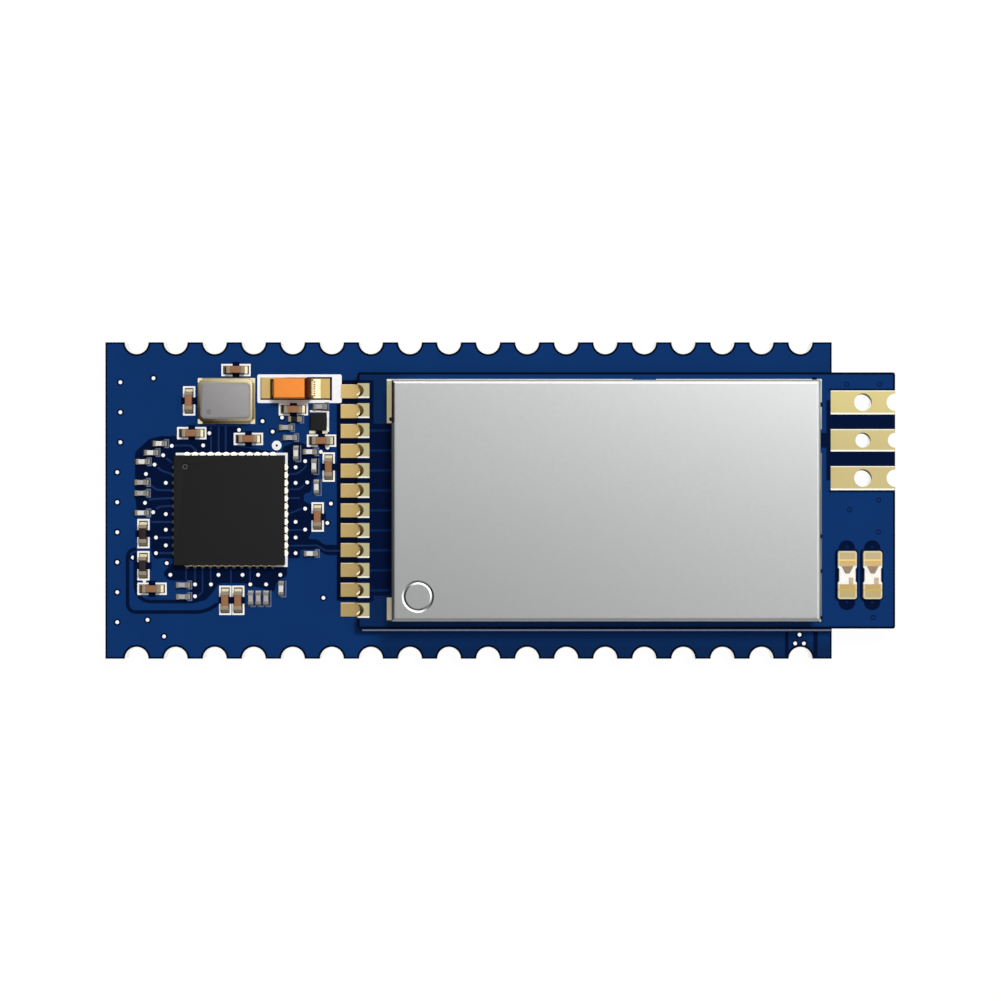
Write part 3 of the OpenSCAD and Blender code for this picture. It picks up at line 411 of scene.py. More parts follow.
# Copper tracks of the carrier: etched copper under the mask, seen as slightly raised blue lines.
# One wider track loops round the lower left corner between two etched gaps.
TRACK_SKIN = {"roughness": 0.42, "specular": 0.02, "grain_mm": 0.2, "depth_mm": 0.004, "strength": 0.2}
FINE_TRACKS = [[(-18.79, 3.52), (-17.77, 3.52), (-17.4, 3.15)], [(-19.36, 2.71), (-18.9, 2.36)],
               [(-19.9, 2.13), (-19.66, 1.9), (-18.9, 1.67)], [(-20.39, 0.99), (-19.95, 0.67), (-18.9, 0.64)],
               [(-20.48, 0.07), (-18.9, 0.16)], [(-20.0, -0.55), (-19.84, -0.4), (-18.9, -0.34)],
               [(-20.3, -1.38), (-18.9, -1.38)], [(-19.84, -2.38), (-18.9, -2.38)],
               [(-19.84, -3.37), (-18.9, -3.37)], [(-16.49, 4.9), (-16.49, 3.1)], [(-16.0, 4.9), (-16.0, 3.1)],
               [(-15.55, 4.9), (-15.55, 3.1)], [(-11.5, 1.67), (-10.98, 1.72), (-10.52, 2.04), (-10.38, 2.31)],
               [(-11.5, 0.71), (-10.88, 0.71), (-10.52, 0.99), (-10.43, 1.12)], [(-11.5, 0.16), (-10.79, 0.16)],
               [(-11.5, -0.85), (-10.6, -0.48)], [(-11.5, -1.9), (-10.6, -1.88)],
               [(-11.5, -2.9), (-9.7, -2.88), (-9.15, -3.22), (-8.23, -3.22)], [(-18.09, -4.3), (-18.09, -5.1)],
               [(-17.51, -4.3), (-17.51, -5.16)], [(-17.03, -4.3), (-17.03, -5.86), (-17.3, -6.1)],
               [(-16.51, -4.3), (-16.51, -5.16)], [(-15.21, -4.3), (-15.21, -5.29)],
               [(-13.99, -4.3), (-13.99, -5.16)]]
OUTER_GAP = [(-21.26, -3.11), (-21.83, -3.11), (-21.83, -7.14), (-16.9, -7.14), (-16.01, -6.6)]
INNER_GAP = [(-21.33, -3.3), (-21.33, -6.47), (-16.76, -6.47), (-16.76, -4.39)]


def flat_track(points, width, bottom, top, turn=0.12):
    bpy.ops.mesh.primitive_plane_add(size=MM, location=(points[0][0] * MM, points[0][1] * MM, bottom * MM))
    start_edit()
    bpy.ops.mesh.merge(type="CENTER")
    for (x0, y0), (x1, y1) in zip(points, points[1:]):
        bpy.ops.mesh.extrude_vertices_move(TRANSFORM_OT_translate={"value": ((x1 - x0) * MM, (y1 - y0) * MM, 0)})
    if len(points) > 2:
        bpy.ops.mesh.select_all(action="SELECT")
        bpy.ops.mesh.bevel(affect="VERTICES", offset=turn * MM, segments=4)
    bpy.ops.object.mode_set(mode="OBJECT")
    bpy.ops.object.transform_apply(location=True, rotation=True, scale=True)
    bpy.ops.object.convert(target="CURVE")
    track = bpy.context.object
    track.data.bevel_depth = width / 2 * MM
    track.data.bevel_resolution = 1
    track.data.use_fill_caps = True
    bpy.ops.object.convert(target="MESH")
    start_edit()
    bpy.ops.transform.resize(value=(1, 1, (top - bottom) / (width / 2)), center_override=(0, 0, bottom * MM))
    bpy.ops.mesh.normals_make_consistent(inside=False)
    bpy.ops.object.mode_set(mode="OBJECT")
    return bpy.context.object


track_finish = grained_finish("carrier_track", (23, 45, 89), 0.08, **TRACK_SKIN)
tracks = [flat_track(points, 0.15, CARRIER_TOP, 1.619) for points in FINE_TRACKS]
add_joined("carrier_tracks", tracks, track_finish, "carrier_mask")
gaps = [flat_track(points, 0.235, CARRIER_TOP, 1.609, turn) for points, turn in ((OUTER_GAP, 0.5), (INNER_GAP, 0.95))]
add_joined("carrier_loop_gaps", gaps, bare_finish, "carrier_mask")


# White print of the carrier: screen-printed epoxy ink, one split bracket round each larger chip part,
# a full frame with a solid bar for the tantalum capacitor, corner lines and a ring at the chip.
PRINT_FOOT, PRINT_TOP = 1.599, 1.626
FRAME_W, FRAME_D, FRAME_LINE, FRAME_SPLIT = 1.88, 0.79, 0.115, 0.45
CORNER_LINES = [[(-12.42, 2.9), (-11.735, 2.9), (-11.735, 2.25), (-11.58, 2.25), (-11.58, 3.055), (-12.42, 3.055)],
                [(-12.4, -4.25), (-11.58, -4.25), (-11.58, -3.5), (-11.735, -3.5), (-11.735, -4.13), (-12.4, -4.13)],
                [(-10.15, 5.65), (-9.06, 5.65), (-9.06, 4.4), (-8.93, 4.4), (-8.93, 5.78), (-10.15, 5.78)]]
SMALL_ACROSS = [(-19.79, 3.64), (-20.34, 3.07), (-20.9, 2.48), (-20.96, 1.16), (-20.96, 0.47), (-20.94, -0.79),
                (-18.31, -5.4), (-18.31, -6.15), (-9.54, 6.0), (-11.73, 4.67), (-11.47, 4.03), (-10.18, 3.12),
                (-10.14, -3.39), (-11.14, 5.21)]
SMALL_UPRIGHT = [(-11.04, 3.03), (-9.88, 2.2), (-9.73, 0.86), (-13.93, -6.25), (-13.44, -6.25), (-12.95, -6.25),
                 (-11.99, -5.63)]
BRACKET = [(0.3, 0.28), (0.62, 0.28), (0.62, -0.28), (0.3, -0.28), (0.3, -0.2), (0.54, -0.2), (0.54, 0.2), (0.3, 0.2)]
HOOK = [(0.26, 0.5), (0.26, -0.5), (-0.05, -0.5), (-0.05, -0.57), (0.33, -0.57), (0.33, 0.5)]


def split_frame(top):
    bpy.ops.mesh.primitive_plane_add(size=MM, location=(0, 0, PRINT_FOOT * MM))
    printed = bpy.context.object
    printed.scale = (FRAME_W, FRAME_D, 1)
    bpy.ops.object.transform_apply(location=True, rotation=True, scale=True)
    start_edit()
    bpy.ops.mesh.inset(thickness=FRAME_LINE * MM)
    bpy.ops.mesh.delete(type="FACE")
    for side in (-FRAME_SPLIT / 2, FRAME_SPLIT / 2):
        bpy.ops.mesh.select_all(action="SELECT")
        bpy.ops.mesh.bisect(plane_co=(side * MM, 0, 0), plane_no=(1, 0, 0))
    bpy.ops.mesh.select_all(action="DESELECT")
    bpy.ops.object.mode_set(mode="OBJECT")
    for face in printed.data.polygons:
        face.select = abs(face.center.x) < FRAME_SPLIT / 2 * MM
    bpy.ops.object.mode_set(mode="EDIT")
    bpy.ops.mesh.delete(type="FACE")
    bpy.ops.mesh.select_all(action="SELECT")
    raise_faces(top - PRINT_FOOT)
    return printed


print_finish = grained_finish("silk_print", (246, 246, 248), 0.02, roughness=0.6)
prints = laid_out(split_frame(PRINT_TOP), CAPS_ACROSS)
prints += laid_out(split_frame(PRINT_TOP), CAPS_UPRIGHT + BEADS + CAP_PAIR[:1], 90)
prints += laid_out(split_frame(PRINT_TOP + 0.004), CAP_PAIR[1:], 90)
tantalum_print = outline_slab(oblong(-10.82, TANTALUM_Y, 5.4, 1.83), PRINT_FOOT, PRINT_TOP, 0.1)
opening = outline_slab(oblong(-10.82, TANTALUM_Y, 5.0, 1.43), 1.59, 1.64)
cut(tantalum_print, opening)
bpy.data.objects.remove(opening)
prints.append(tantalum_print)
prints += bars([(-8.525, TANTALUM_Y)], 0.43, 1.45, PRINT_FOOT, PRINT_TOP - 0.003)
prints += [outline_slab(points, PRINT_FOOT, PRINT_TOP) for points in CORNER_LINES]
prints += bars([(-18.42, 2.9775)], 0.64, 0.155, PRINT_FOOT, PRINT_TOP)
prints += bars([(CHIP_X, 2.995)], 5.72, 0.11, PRINT_FOOT, PRINT_TOP - 0.002)
prints += bars([(-20.75, -5.16), (-9.05, 3.41), (-16.59, 4.315)], 0.22, 0.22, PRINT_FOOT, PRINT_TOP + 0.002, 0.09)
prints += laid_out(flat_ring(0.31, 0.23, PRINT_FOOT, PRINT_TOP, 32), [(-12.28, 3.52)])
add_joined("carrier_print", prints, print_finish, "silk_print")
fine_print_finish = grained_finish("fine_print", (96, 108, 132), 0.04, roughness=0.6)
fine = laid_out(outline_slab(BRACKET, PRINT_FOOT, PRINT_TOP, 0.03), SMALL_ACROSS)
fine += laid_out(outline_slab(HOOK, PRINT_FOOT, PRINT_TOP, 0.03), SMALL_UPRIGHT)
add_joined("carrier_fine_print", fine, fine_print_finish, "silk_print")
# Painted shade: the print line just below the radio board is a dull blue-grey instead of the print's white, standing
# for the board's shadow over it.
edge_print_finish = grained_finish("shaded_edge_print", (192, 206, 248), 0.04, roughness=0.6)
add_joined("carrier_edge_line", bars([(8.2, -8.3)], 30, 0.1, PRINT_FOOT, PRINT_TOP), edge_print_finish, "silk_print")


# Controller: a black moulded epoxy chip with a matte, sand-blasted skin and a small ring at its first lead.
# Its 48 tin-plated leads are soldered to the carrier, and a toe of solder shows beyond each of them.
SOLDER_FOOT = 1.639
LEAD_PITCH = 0.5
LEAD_STEPS = [(i - 5.5) * LEAD_PITCH for i in range(12)]
TOE_LENGTHS = (1, 1, 0.55, 0.44)
WEDGE_LIP = 0.012


def eased_copy(node, name, width_mm, steps=2):
    eased = bpy.data.objects.new(name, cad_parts[node].data.copy())
    bpy.context.scene.collection.objects.link(eased)
    pick(eased)
    start_edit()
    bpy.ops.mesh.remove_doubles(threshold=0.000001)
    bpy.ops.mesh.dissolve_limited(angle_limit=math.radians(1))
    bpy.ops.object.mode_set(mode="OBJECT")
    soften = eased.modifiers.new("soften", "BEVEL")
    soften.width = width_mm * MM
    soften.segments = steps
    soften.limit_method = "ANGLE"
    soften.angle_limit = math.radians(40)
    soften.harden_normals = True
    bpy.ops.object.shade_smooth()
    bpy.ops.object.modifier_apply(modifier="soften")
    return eased


def add_eased(node, name, width_mm, finish, slot, steps=2):
    add_piece(eased_copy(node, name, width_mm, steps), finish, slot, node)


def wedge(side, near, far, top_far, near_w, far_w, foot, height, ease, steps):
    bpy.ops.mesh.primitive_cube_add(size=1)
    piece = bpy.context.object
    for corner in piece.data.vertices:
        out, up = corner.co.x * side > 0, corner.co.z > 0
        reach = near if not out else top_far if up else far
        rise = 0 if not up else WEDGE_LIP if out else height
        corner.co = (side * reach * MM, corner.co.y * (far_w if out else near_w) * MM, (foot + rise) * MM)
    start_edit()
    bpy.ops.mesh.normals_make_consistent(inside=False)
    bpy.ops.mesh.bevel(offset=ease * MM, segments=steps)
    bpy.ops.object.mode_set(mode="OBJECT")
    return piece


mould_finish = grained_finish("chip_mould", (32, 32, 32), 0.08, 0, 0.62, 0.05, 0.06, 0.006)
tin_finish = metal_finish("tin_lead", (226, 219, 200), 0.05, 0.38)
add_eased("controller_body", "controller_shell", 0.05, mould_finish, "chip_mould")
for node in ("controller_leads", "controller_heat_pad"):
    dress(node, tin_finish)
toe = wedge(1, near=0.005, far=0.2, top_far=0.17, near_w=0.44, far_w=0.24, foot=1.642, height=0.1, ease=0.02, steps=2)
toes = []
for turn, length in enumerate(TOE_LENGTHS):
    pattern = toe.copy()
    pattern.data = toe.data.copy()
    pattern.scale.x = length
    bpy.context.scene.collection.objects.link(pattern)
    out_x, out_y = math.cos(turn * math.pi / 2), math.sin(turn * math.pi / 2)
    places = [(CHIP_X + out_x * CHIP_HALF - out_y * step, CHIP_Y + out_y * CHIP_HALF + out_x * step)
              for step in LEAD_STEPS]
    toes += laid_out(pattern, places, 90 * turn)
bpy.data.objects.remove(toe)
toes += bars([(CHIP_X + 3.625, CHIP_Y)], 0.11, 5.76, SOLDER_FOOT, 1.66)
toes += bars([(CHIP_X, CHIP_Y - 3.545)], 5.8, 0.07, SOLDER_FOOT, 1.66)
# The toes carry the same painted light and shade as the pads: light above and right of the chip, dull and dark below
# it, dark on its left.
toe_finish, toe_tree, toe_shader = new_finish("lead_solder", roughness=0.34)
lead_tone = beside_chip(toe_tree, (224, 219, 200), (184, 173, 136), (72, 73, 78))[1]
paint(toe_tree, toe_shader, lead_tone, speckle(toe_tree, 0.06), 0.003)
add_joined("controller_toes", toes, toe_finish, "solder")
mark_finish = grained_finish("chip_mark", (80, 80, 80), 0.08, 0, 0.6, 0.05, 0.06)
first_lead = laid_out(flat_ring(0.165, 0.065, 2.48, 2.4915, 24), [(-18.04, 2.15)])
add_joined("controller_mark", first_lead, mark_finish, "chip_mould")


# Oscillator: a dark ceramic base, a gold-plated seal ring and a satin metal lid that is welded on the ring.
# It stands on a plated foot and is soldered to the carrier at its four corners.
OSC_X, OSC_Y, OSC_HALF_W, OSC_HALF_D = -15.49, 6.37, 1.72, 1.35
LID_SKIN = {"metallic": 0.3, "specular": 0.3, "grain_mm": 0.05}
ceramic_finish = grained_finish("dark_ceramic", (70, 56, 42), 0.1, roughness=0.6, depth_mm=0.004)
ring_finish, ring_tree, ring_shader = new_finish("seal_ring")
x_axis, y_axis, _ = axes(ring_tree)
along = calc(ring_tree, "DIVIDE", in_mm(ring_tree, x_axis, OSC_X), OSC_HALF_W)
across = calc(ring_tree, "DIVIDE", in_mm(ring_tree, y_axis, OSC_Y), OSC_HALF_D)
grain = speckle(ring_tree, 0.06)
# Painted light and shade: the seal ring is dark towards the lower left and light towards the upper right, with grain
# mixed in.
shade_and_grain = calc(ring_tree, "MULTIPLY_ADD", along, 0.28, calc(ring_tree, "MULTIPLY_ADD", across, 0.24, 0.5))
shade_and_grain = soft_step(ring_tree, calc(ring_tree, "MULTIPLY_ADD", grain, 0.3, shade_and_grain), 0.24, 1.18)
paint(ring_tree, ring_shader, tint(ring_tree, shade_and_grain, (66, 54, 36), (222, 208, 164)), grain, 0.003)
lid_finish = grained_finish("lid_metal", (140, 137, 138), 0.04, **LID_SKIN)
dress("oscillator_base", ceramic_finish)
add_eased("oscillator_seal_ring", "oscillator_rim", 0.055, ring_finish, "seal_ring", 3)
add_eased("oscillator_lid", "oscillator_cap", 0.03, lid_finish, "lid_metal")
# Painted shade: a flat darker disc on the lid stands for the shade in a small dimple.
dot_finish = grained_finish("lid_dot", (118, 115, 116), 0.1, **LID_SKIN)
lid_dot = laid_out(flat_ring(0.17, 0.16, 2.355, 2.3612, 24), [(-16.56, 5.65)])
add_joined("oscillator_dot", lid_dot, dot_finish, "lid_metal")
foot = bars([(OSC_X, OSC_Y)], 3.67, 2.93, 1.62, 1.69, 0.03)
# The foot takes the seal ring's finish, with its painted light and shade.
add_joined("oscillator_foot", foot, ring_finish, "gold_plate")
corner_places = [(OSC_X + a * 1.68, OSC_Y + b * 1.31) for a in (-1, 1) for b in (-1, 1)]
corner_finish = metal_finish("corner_solder", (238, 232, 196), 0.05, 0.36)
add_joined("oscillator_corners", bars(corner_places, 0.3, 0.3, SOLDER_FOOT, 1.7, 0.05), corner_finish, "solder")


# Tantalum capacitor: orange moulded epoxy with a brown polarity band, drafted from its parting line.
# Two tin strips are folded down its ends and under it, and are soldered to long pads.
BAND_START, BAND_RIM = -10.4, 0.2
STRIPS_PART = -11
orange_finish, orange_tree, orange_shader = new_finish("tantalum_mould", 0, 0.5, 0.06)
x_axis = axes(orange_tree)[0]
band = calc(orange_tree, "GREATER_THAN", x_axis, BAND_START * MM)
inside_rim = calc(orange_tree, "GREATER_THAN", x_axis, (BAND_START + BAND_RIM) * MM)
grain = speckle(orange_tree, 0.08)
orange = tint(orange_tree, grain, (232, 134, 54), (252, 152, 70))
brown = tint(orange_tree, inside_rim, (58, 16, 2), (84, 34, 10))
paint(orange_tree, orange_shader, tint(orange_tree, band, orange, brown), grain)
add_eased("tantalum_body", "tantalum_shell", 0.05, orange_finish, "tantalum_mould")
# Painted light and shade: the left strip is dark brown and the right one pale, as the light comes from the right.
strip_finish, strip_tree, strip_shader = new_finish("tantalum_strip", roughness=0.38)
right = calc(strip_tree, "GREATER_THAN", axes(strip_tree)[0], STRIPS_PART * MM)
grain = speckle(strip_tree, 0.06)
shade_and_grain = tint(strip_tree, grain, (104, 76, 38), (138, 104, 56))
bright = tint(strip_tree, grain, (240, 226, 176), (252, 240, 196))
paint(strip_tree, strip_shader, tint(strip_tree, right, shade_and_grain, bright), grain, 0.003)
dress("tantalum_terminals", strip_finish)
teeth = bars([(-9.83, 6.7 + 0.147 * i) for i in range(7)], 0.07, 0.085, 1.7, 1.795)
teeth_finish = grained_finish("strip_teeth", (64, 46, 22), 0.1, grain_mm=0.06)
add_joined("tantalum_teeth", teeth, teeth_finish, "solder")


# Chip parts: sintered ceramic or ferrite bodies, dipped and plated at both ends, with soft tumbled edges.
# Each is soldered to two pads, and a fillet of solder climbs both of its ends.
FILLET_FOOT = 1.641
brown_finish = grained_finish("capacitor_ceramic", (145, 102, 71), 0.1, depth_mm=0.004)
end_finish = metal_finish("chip_end", (146, 134, 118), 0.08, depth_mm=0.004)
dull_end_finish = metal_finish("small_end", (128, 128, 125), 0.1, depth_mm=0.004)
ferrite_finish = grained_finish("bead_ferrite", (34, 23, 23), 0.15, grain_mm=0.06, depth_mm=0.004)
pale_finish, pale_tree, pale_shader = new_finish("pale_ceramic", 0, 0.5, 0.2)
x_axis, y_axis, _ = axes(pale_tree)
row = in_mm(pale_tree, y_axis)
left = calc(pale_tree, "LESS_THAN", x_axis, -12.5 * MM)
middle_row = calc(pale_tree, "LESS_THAN", away(pale_tree, row, 0.8), 0.6)
lower_rows = calc(pale_tree, "MAXIMUM", middle_row, calc(pale_tree, "LESS_THAN", row, -5))
upper_rows = calc(pale_tree, "GREATER_THAN", row, 3.9)
dull = calc(pale_tree, "MAXIMUM", upper_rows, calc(pale_tree, "MULTIPLY", lower_rows, left))
tone = tint(pale_tree, dull, (224, 221, 215), (170, 165, 163))
grain = speckle(pale_tree, 0.06)
tone = tint(pale_tree, calc(pale_tree, "MULTIPLY", grain, 0.12), tone, (120, 116, 112))
paint(pale_tree, pale_shader, tone, grain)
add_eased("capacitor_bodies", "capacitor_blocks", 0.03, brown_finish, "capacitor_ceramic")
add_eased("capacitor_terminals", "capacitor_ends", 0.1, end_finish, "chip_end", 3)
add_eased("bead_bodies", "bead_blocks", 0.03, ferrite_finish, "bead_ferrite")
add_eased("bead_terminals", "bead_ends", 0.1, end_finish, "chip_end", 3)
add_eased("small_part_bodies", "small_blocks", 0.02, pale_finish, "pale_ceramic")
add_eased("small_part_terminals", "small_ends", 0.06, dull_end_finish, "chip_end", 3)


def fillet_pair(length, width, height, left_reach, right_reach):
    ends = []
    for side, reach in ((-1, left_reach), (1, right_reach)):
        far = length / 2 + reach
        ends.append(wedge(side, near=length / 2 - 0.02, far=far, top_far=far, near_w=width, far_w=width,
                          foot=FILLET_FOOT, height=height, ease=0.008, steps=1))
    return joined("fillet_pair", ends)


# Painted light and shade: each fillet is pale where it faces right and dark where it faces left.
fillet_finish, fillet_tree, fillet_shader = new_finish("fillet_solder", roughness=0.36)
x_facing, y_facing, _ = axes(fillet_tree, "Normal")
lit = soft_step(fillet_tree, calc(fillet_tree, "MULTIPLY_ADD", y_facing, 0.06, x_facing), -0.3, 0.3)
tone = tint(fillet_tree, lit, (92, 84, 62), (168, 160, 128))
paint(fillet_tree, fillet_shader, tone, speckle(fillet_tree, 0.06), 0.003)
fillets = laid_out(fillet_pair(1.16, 0.48, 0.11, 0.17, 0.17), CAPS_ACROSS)
fillets += laid_out(fillet_pair(1.16, 0.48, 0.11, 0.17, 0.17), CAPS_UPRIGHT + CAP_PAIR + BEADS, 90)
add_joined("cap_fillets", fillets, fillet_finish, "solder")
# The tantalum's fillets take the strips' finish, dark on the left and pale on the right: painted light and shade.
fillets = laid_out(fillet_pair(2.6, 1.24, 0.14, 0.2, 0.43), [(-11.2, TANTALUM_Y)])
add_joined("tantalum_fillets", fillets, strip_finish, "solder")
fillets = laid_out(fillet_pair(0.74, 0.35, 0.08, 0.12, 0.12), SMALL_ACROSS)
fillets += laid_out(fillet_pair(0.74, 0.35, 0.08, 0.12, 0.12), SMALL_UPRIGHT, 90)
grey_fillet_finish = metal_finish("small_fillet_solder", (112, 108, 100), 0.06)
add_joined("small_fillets", fillets, grey_fillet_finish, "solder")


# Regulator and diode: small black moulded parts on tin-plated feet, soldered to the carrier.
# The regulator's lower feet show as two toes of solder on their pads.
add_eased("regulator_body", "regulator_shell", 0.06, mould_finish, "chip_mould")
add_eased("diode_body", "diode_shell", 0.03, mould_finish, "chip_mould")
dress("regulator_leads", tin_finish)
dress("diode_terminals", end_finish)
toes = bars([(-9.6 + side * 0.42, 4.37) for side in (-1, 1)], 0.34, 0.17, SOLDER_FOOT, 1.662, 0.03)
add_joined("regulator_toes", toes, corner_finish, "solder")


# Radio board: thinner laminate under the same mask, soldered on the carrier by its half-hole edge.
# Beside its contacts and round the antenna fields the copper pour is etched away.
# Its gold pads have thin light lines of painted highlight along their edges, and a crescent of painted shade lies
# inside each antenna hole.
RADIO_X, RADIO_HALF_W, RADIO_HALF_D, RADIO_TOP = 10.05, 17.1, 8.15, 2.68
RADIO_FOOT, RADIO_LOW, RADIO_HIGH = 2.678, 2.684, 2.687
PAD_FOOT, PAD_MARK = 2.7, 2.7225
JOINT_PITCH = 1.27
JOINT_ROWS = [(i - 5.5) * JOINT_PITCH for i in range(12)]
GAP_ROWS = [(i - 5) * JOINT_PITCH for i in range(11)]
ANTENNA_HOLES = [(25.08, 6.24, 0.55), (25.08, 3.83, 0.47), (25.08, 1.42, 0.55)]
RADIO_VIAS = [(24.06, 7.39), (26.14, 7.39), (26.09, 0.02), (24.24, -0.59), (26.08, -2.01), (25.74, -7.44)]
# On the radio board the darkened part left of the can is painted shade.
radio_finish = masked_board_finish("radio_mask", RADIO_X, RADIO_HALF_W, RADIO_HALF_D, 0.14, (-13, -15), (9, 8.4))
dress("radio_board", radio_finish)
radio_windows = []
for places, w, d, bottom, top, soften in (
        ([(-6.64, y) for y in GAP_ROWS], 0.8, 0.33, RADIO_FOOT, RADIO_LOW, 0),
        ([(-6.52, 7.55)], 0.9, 0.2, RADIO_FOOT, RADIO_LOW, 0),
        ([(-6.16, 0.62)], 0.26, 14.05, RADIO_FOOT, 2.6855, 0),
        ([(-5.6, -0.585)], 1.36, 10.93, RADIO_FOOT, RADIO_HIGH, 0.2),
        ([(25.02, 7.05), (25.02, 0.6)], 4.2, 0.11, PAD_FOOT, PAD_MARK, 0),
        ([(22.0, 7.72)], 0.3, 0.22, PAD_FOOT, PAD_MARK, 0),
        ([(22.44, y) for y in (6.12, -2.28, -4.49, -7.46)], 0.15, 0.24, PAD_FOOT, PAD_MARK, 0),
        ([(25.02, 5.04), (25.02, 2.62)], 4.24, 1.2, RADIO_FOOT, RADIO_LOW, 0),
        ([(22.92, 3.83)], 0.3, 5.1, RADIO_FOOT, RADIO_HIGH, 0),
        ([(22.62, 3.825)], 0.4, 0.95, RADIO_FOOT, RADIO_LOW, 0),
        ([(25.68, -4.75), (24.07, -4.75)], 1.05, 4.45, RADIO_FOOT, RADIO_LOW, 0.5),
        ([(25.65, -4.73), (24.05, -4.73)], 1.48, 3.28, RADIO_FOOT, RADIO_HIGH, 0.24)):
    radio_windows += bars(places, w, d, bottom, top, soften)
radio_windows += laid_out(flat_ring(0.13, 0.12, PAD_FOOT, PAD_MARK, 16), [(-4.905, 5.17)])
radio_windows += laid_out(flat_ring(0.165, 0.055, RADIO_FOOT, RADIO_LOW, 16), RADIO_VIAS)
add_joined("radio_windows", radio_windows, bare_finish, "radio_mask")
radio_tracks = [flat_track([(-6.3, y), (-4.9, y)], 0.22, RADIO_TOP, 2.694) for y in JOINT_ROWS[1:10]]
radio_tracks += laid_out(flat_ring(0.09, 0.06, RADIO_FOOT, 2.6885, 16),
                         [(x, y) for x in (24.08, 25.68) for y in (-2.955, -6.457)])
faint_track_finish = grained_finish("radio_track", (10, 36, 80), 0.08, **TRACK_SKIN)
add_joined("radio_tracks", radio_tracks, faint_track_finish, "radio_mask")
radio_gold_finish = metal_finish("radio_gold", (186, 178, 138), 0.05, 0.42, 0.08, 0.004)
for node in ("radio_contacts", "radio_component_pads"):
    dress(node, radio_gold_finish)
antenna_finish, antenna_tree, antenna_shader = new_finish("antenna_gold")
# Painted light: the antenna pads grow lighter towards the top, and the walls of their holes are near-white as a
# painted highlight.
grain = speckle(antenna_tree, 0.08)
rising = soft_step(antenna_tree, axes(antenna_tree)[1], 3.2 * MM, 8 * MM)
tone = tint(antenna_tree, calc(antenna_tree, "MULTIPLY_ADD", grain, 0.5, rising), (190, 174, 124), (208, 194, 134))
wall = calc(antenna_tree, "LESS_THAN", away(antenna_tree, axes(antenna_tree, "Normal")[2]), 0.5)
paint(antenna_tree, antenna_shader, tint(antenna_tree, wall, tone, (250, 249, 244)), grain)
dress("antenna_contacts", antenna_finish)
# Painted highlight: thin near-white bars along the pads' edges stand for light caught on those edges.
edges = bars([(-6.645, y - 0.425) for y in JOINT_ROWS], 0.71, 0.09, PAD_FOOT, 2.726)
edges += bars([(25.07, y) for y in (5.53, 3.17, 0.71)], 4.06, 0.11, PAD_FOOT, 2.726)
edges += bars([(25.07, y) for y in (6.96, 4.5, 2.15)], 4.06, 0.05, PAD_FOOT, 2.724)
edges += bars([(22.36, -7.62)], 0.11, 0.16, PAD_FOOT, 2.728, 0.03)
add_joined("contact_edges", edges, grained_finish("edge_highlight", (250, 248, 236), 0.02), "gold_plate")
# Painted highlight: a pale line along the top edge of each landing pad.
edges = bars([(-7.64, y + 0.42) for y in JOINT_ROWS], 1.06, 0.06, 1.62, 1.6435)
add_joined("landing_edges", edges, grained_finish("landing_edge_highlight", (220, 203, 168), 0.02), "gold_plate")


def crescent(x, y, r):
    rim_r = r + 0.02
    arc = [math.radians(-20 + 10 * i) for i in range(16)]
    thick = [0.11 * math.sin(math.pi * i / 15) for i in range(16)]
    outer = [(x + rim_r * math.cos(a), y + rim_r * math.sin(a)) for a in arc]
    inner = [(x + (rim_r - t) * math.cos(a), y + (rim_r - t) * math.sin(a)) for a, t in zip(arc, thick)]
    return outline_slab(outer + inner[14:0:-1], PAD_FOOT, PAD_MARK)


# Painted shade: a dark crescent slab on each antenna pad stands for the shaded wall of its hole.
hole_shades = [crescent(x, y, r) for x, y, r in ANTENNA_HOLES]
add_joined("antenna_hole_shades", hole_shades, grained_finish("hole_shade", (70, 62, 40), 0.1), "gold_plate")


# Solder joints: tin alloy drawn up each half hole of the radio board from the landing pad below.
# The hollow face carries a painted reflection of the board's wall, darkest in the middle of the hollow and lighter
# where it turns up or down, and one small drop at its side is painted as a light highlight.
DROP_HIGHLIGHT = [(-7.17, -0.26), (-7.06, -0.3), (-6.95, -0.22), (-6.9, -0.07), (-6.95, -0.03), (-7.01, -0.1), (-7.09, -0.17)]
solder_finish, solder_tree, solder_shader = new_finish("solder", 0.15, 0.3, 0.2)
# Painted shade and sheen: the colour follows which way the face turns, darkest in the middle of the hollow.
turned = solder_tree.nodes.new("ShaderNodeValToRGB")
y_facing = axes(solder_tree, "Normal")[1]
solder_tree.links.new(calc(solder_tree, "MULTIPLY_ADD", y_facing, 0.5, 0.5), turned.inputs[0])
turned.color_ramp.elements[0].color = colour((132, 114, 64))
turned.color_ramp.elements[1].color = colour((120, 96, 44))
for spot, tone in ((0.28, (92, 76, 36)), (0.46, (20, 14, 2)), (0.6, (30, 22, 6)), (0.75, (90, 70, 30))):
    turned.color_ramp.elements.new(spot).color = colour(tone)
paint(solder_tree, solder_shader, turned.outputs[0], speckle(solder_tree, 0.1))
dress("solder_joints", solder_finish)
# A small bead of solder at each joint, its cream colour a painted highlight.
drop_highlights = laid_out(outline_slab(DROP_HIGHLIGHT, 1.64, 2.2, 0.02), [(0, y) for y in JOINT_ROWS])
drop_highlight_finish = grained_finish("solder_drop_highlight", (255, 234, 190), 0.03, 0, 0.3, 0.5, 0.1, 0.004)
add_joined("solder_drop_highlights", drop_highlights, drop_highlight_finish, "solder")


# Parts under the shield: the transceiver chip, its crystal, a balun and decoupling capacitors.
# They are soldered to the radio board and the can hides them, so they keep their plain solids.
dress("transceiver_body", mould_finish)
for node in ("transceiver_leads", "transceiver_heat_pad"):
    dress(node, tin_finish)
dress("crystal_base", ceramic_finish)
dress("crystal_lid", lid_finish)
dress("balun_body", pale_finish)
dress("decoupling_bodies", brown_finish)
for node in ("balun_terminals", "decoupling_terminals"):
    dress(node, end_finish)


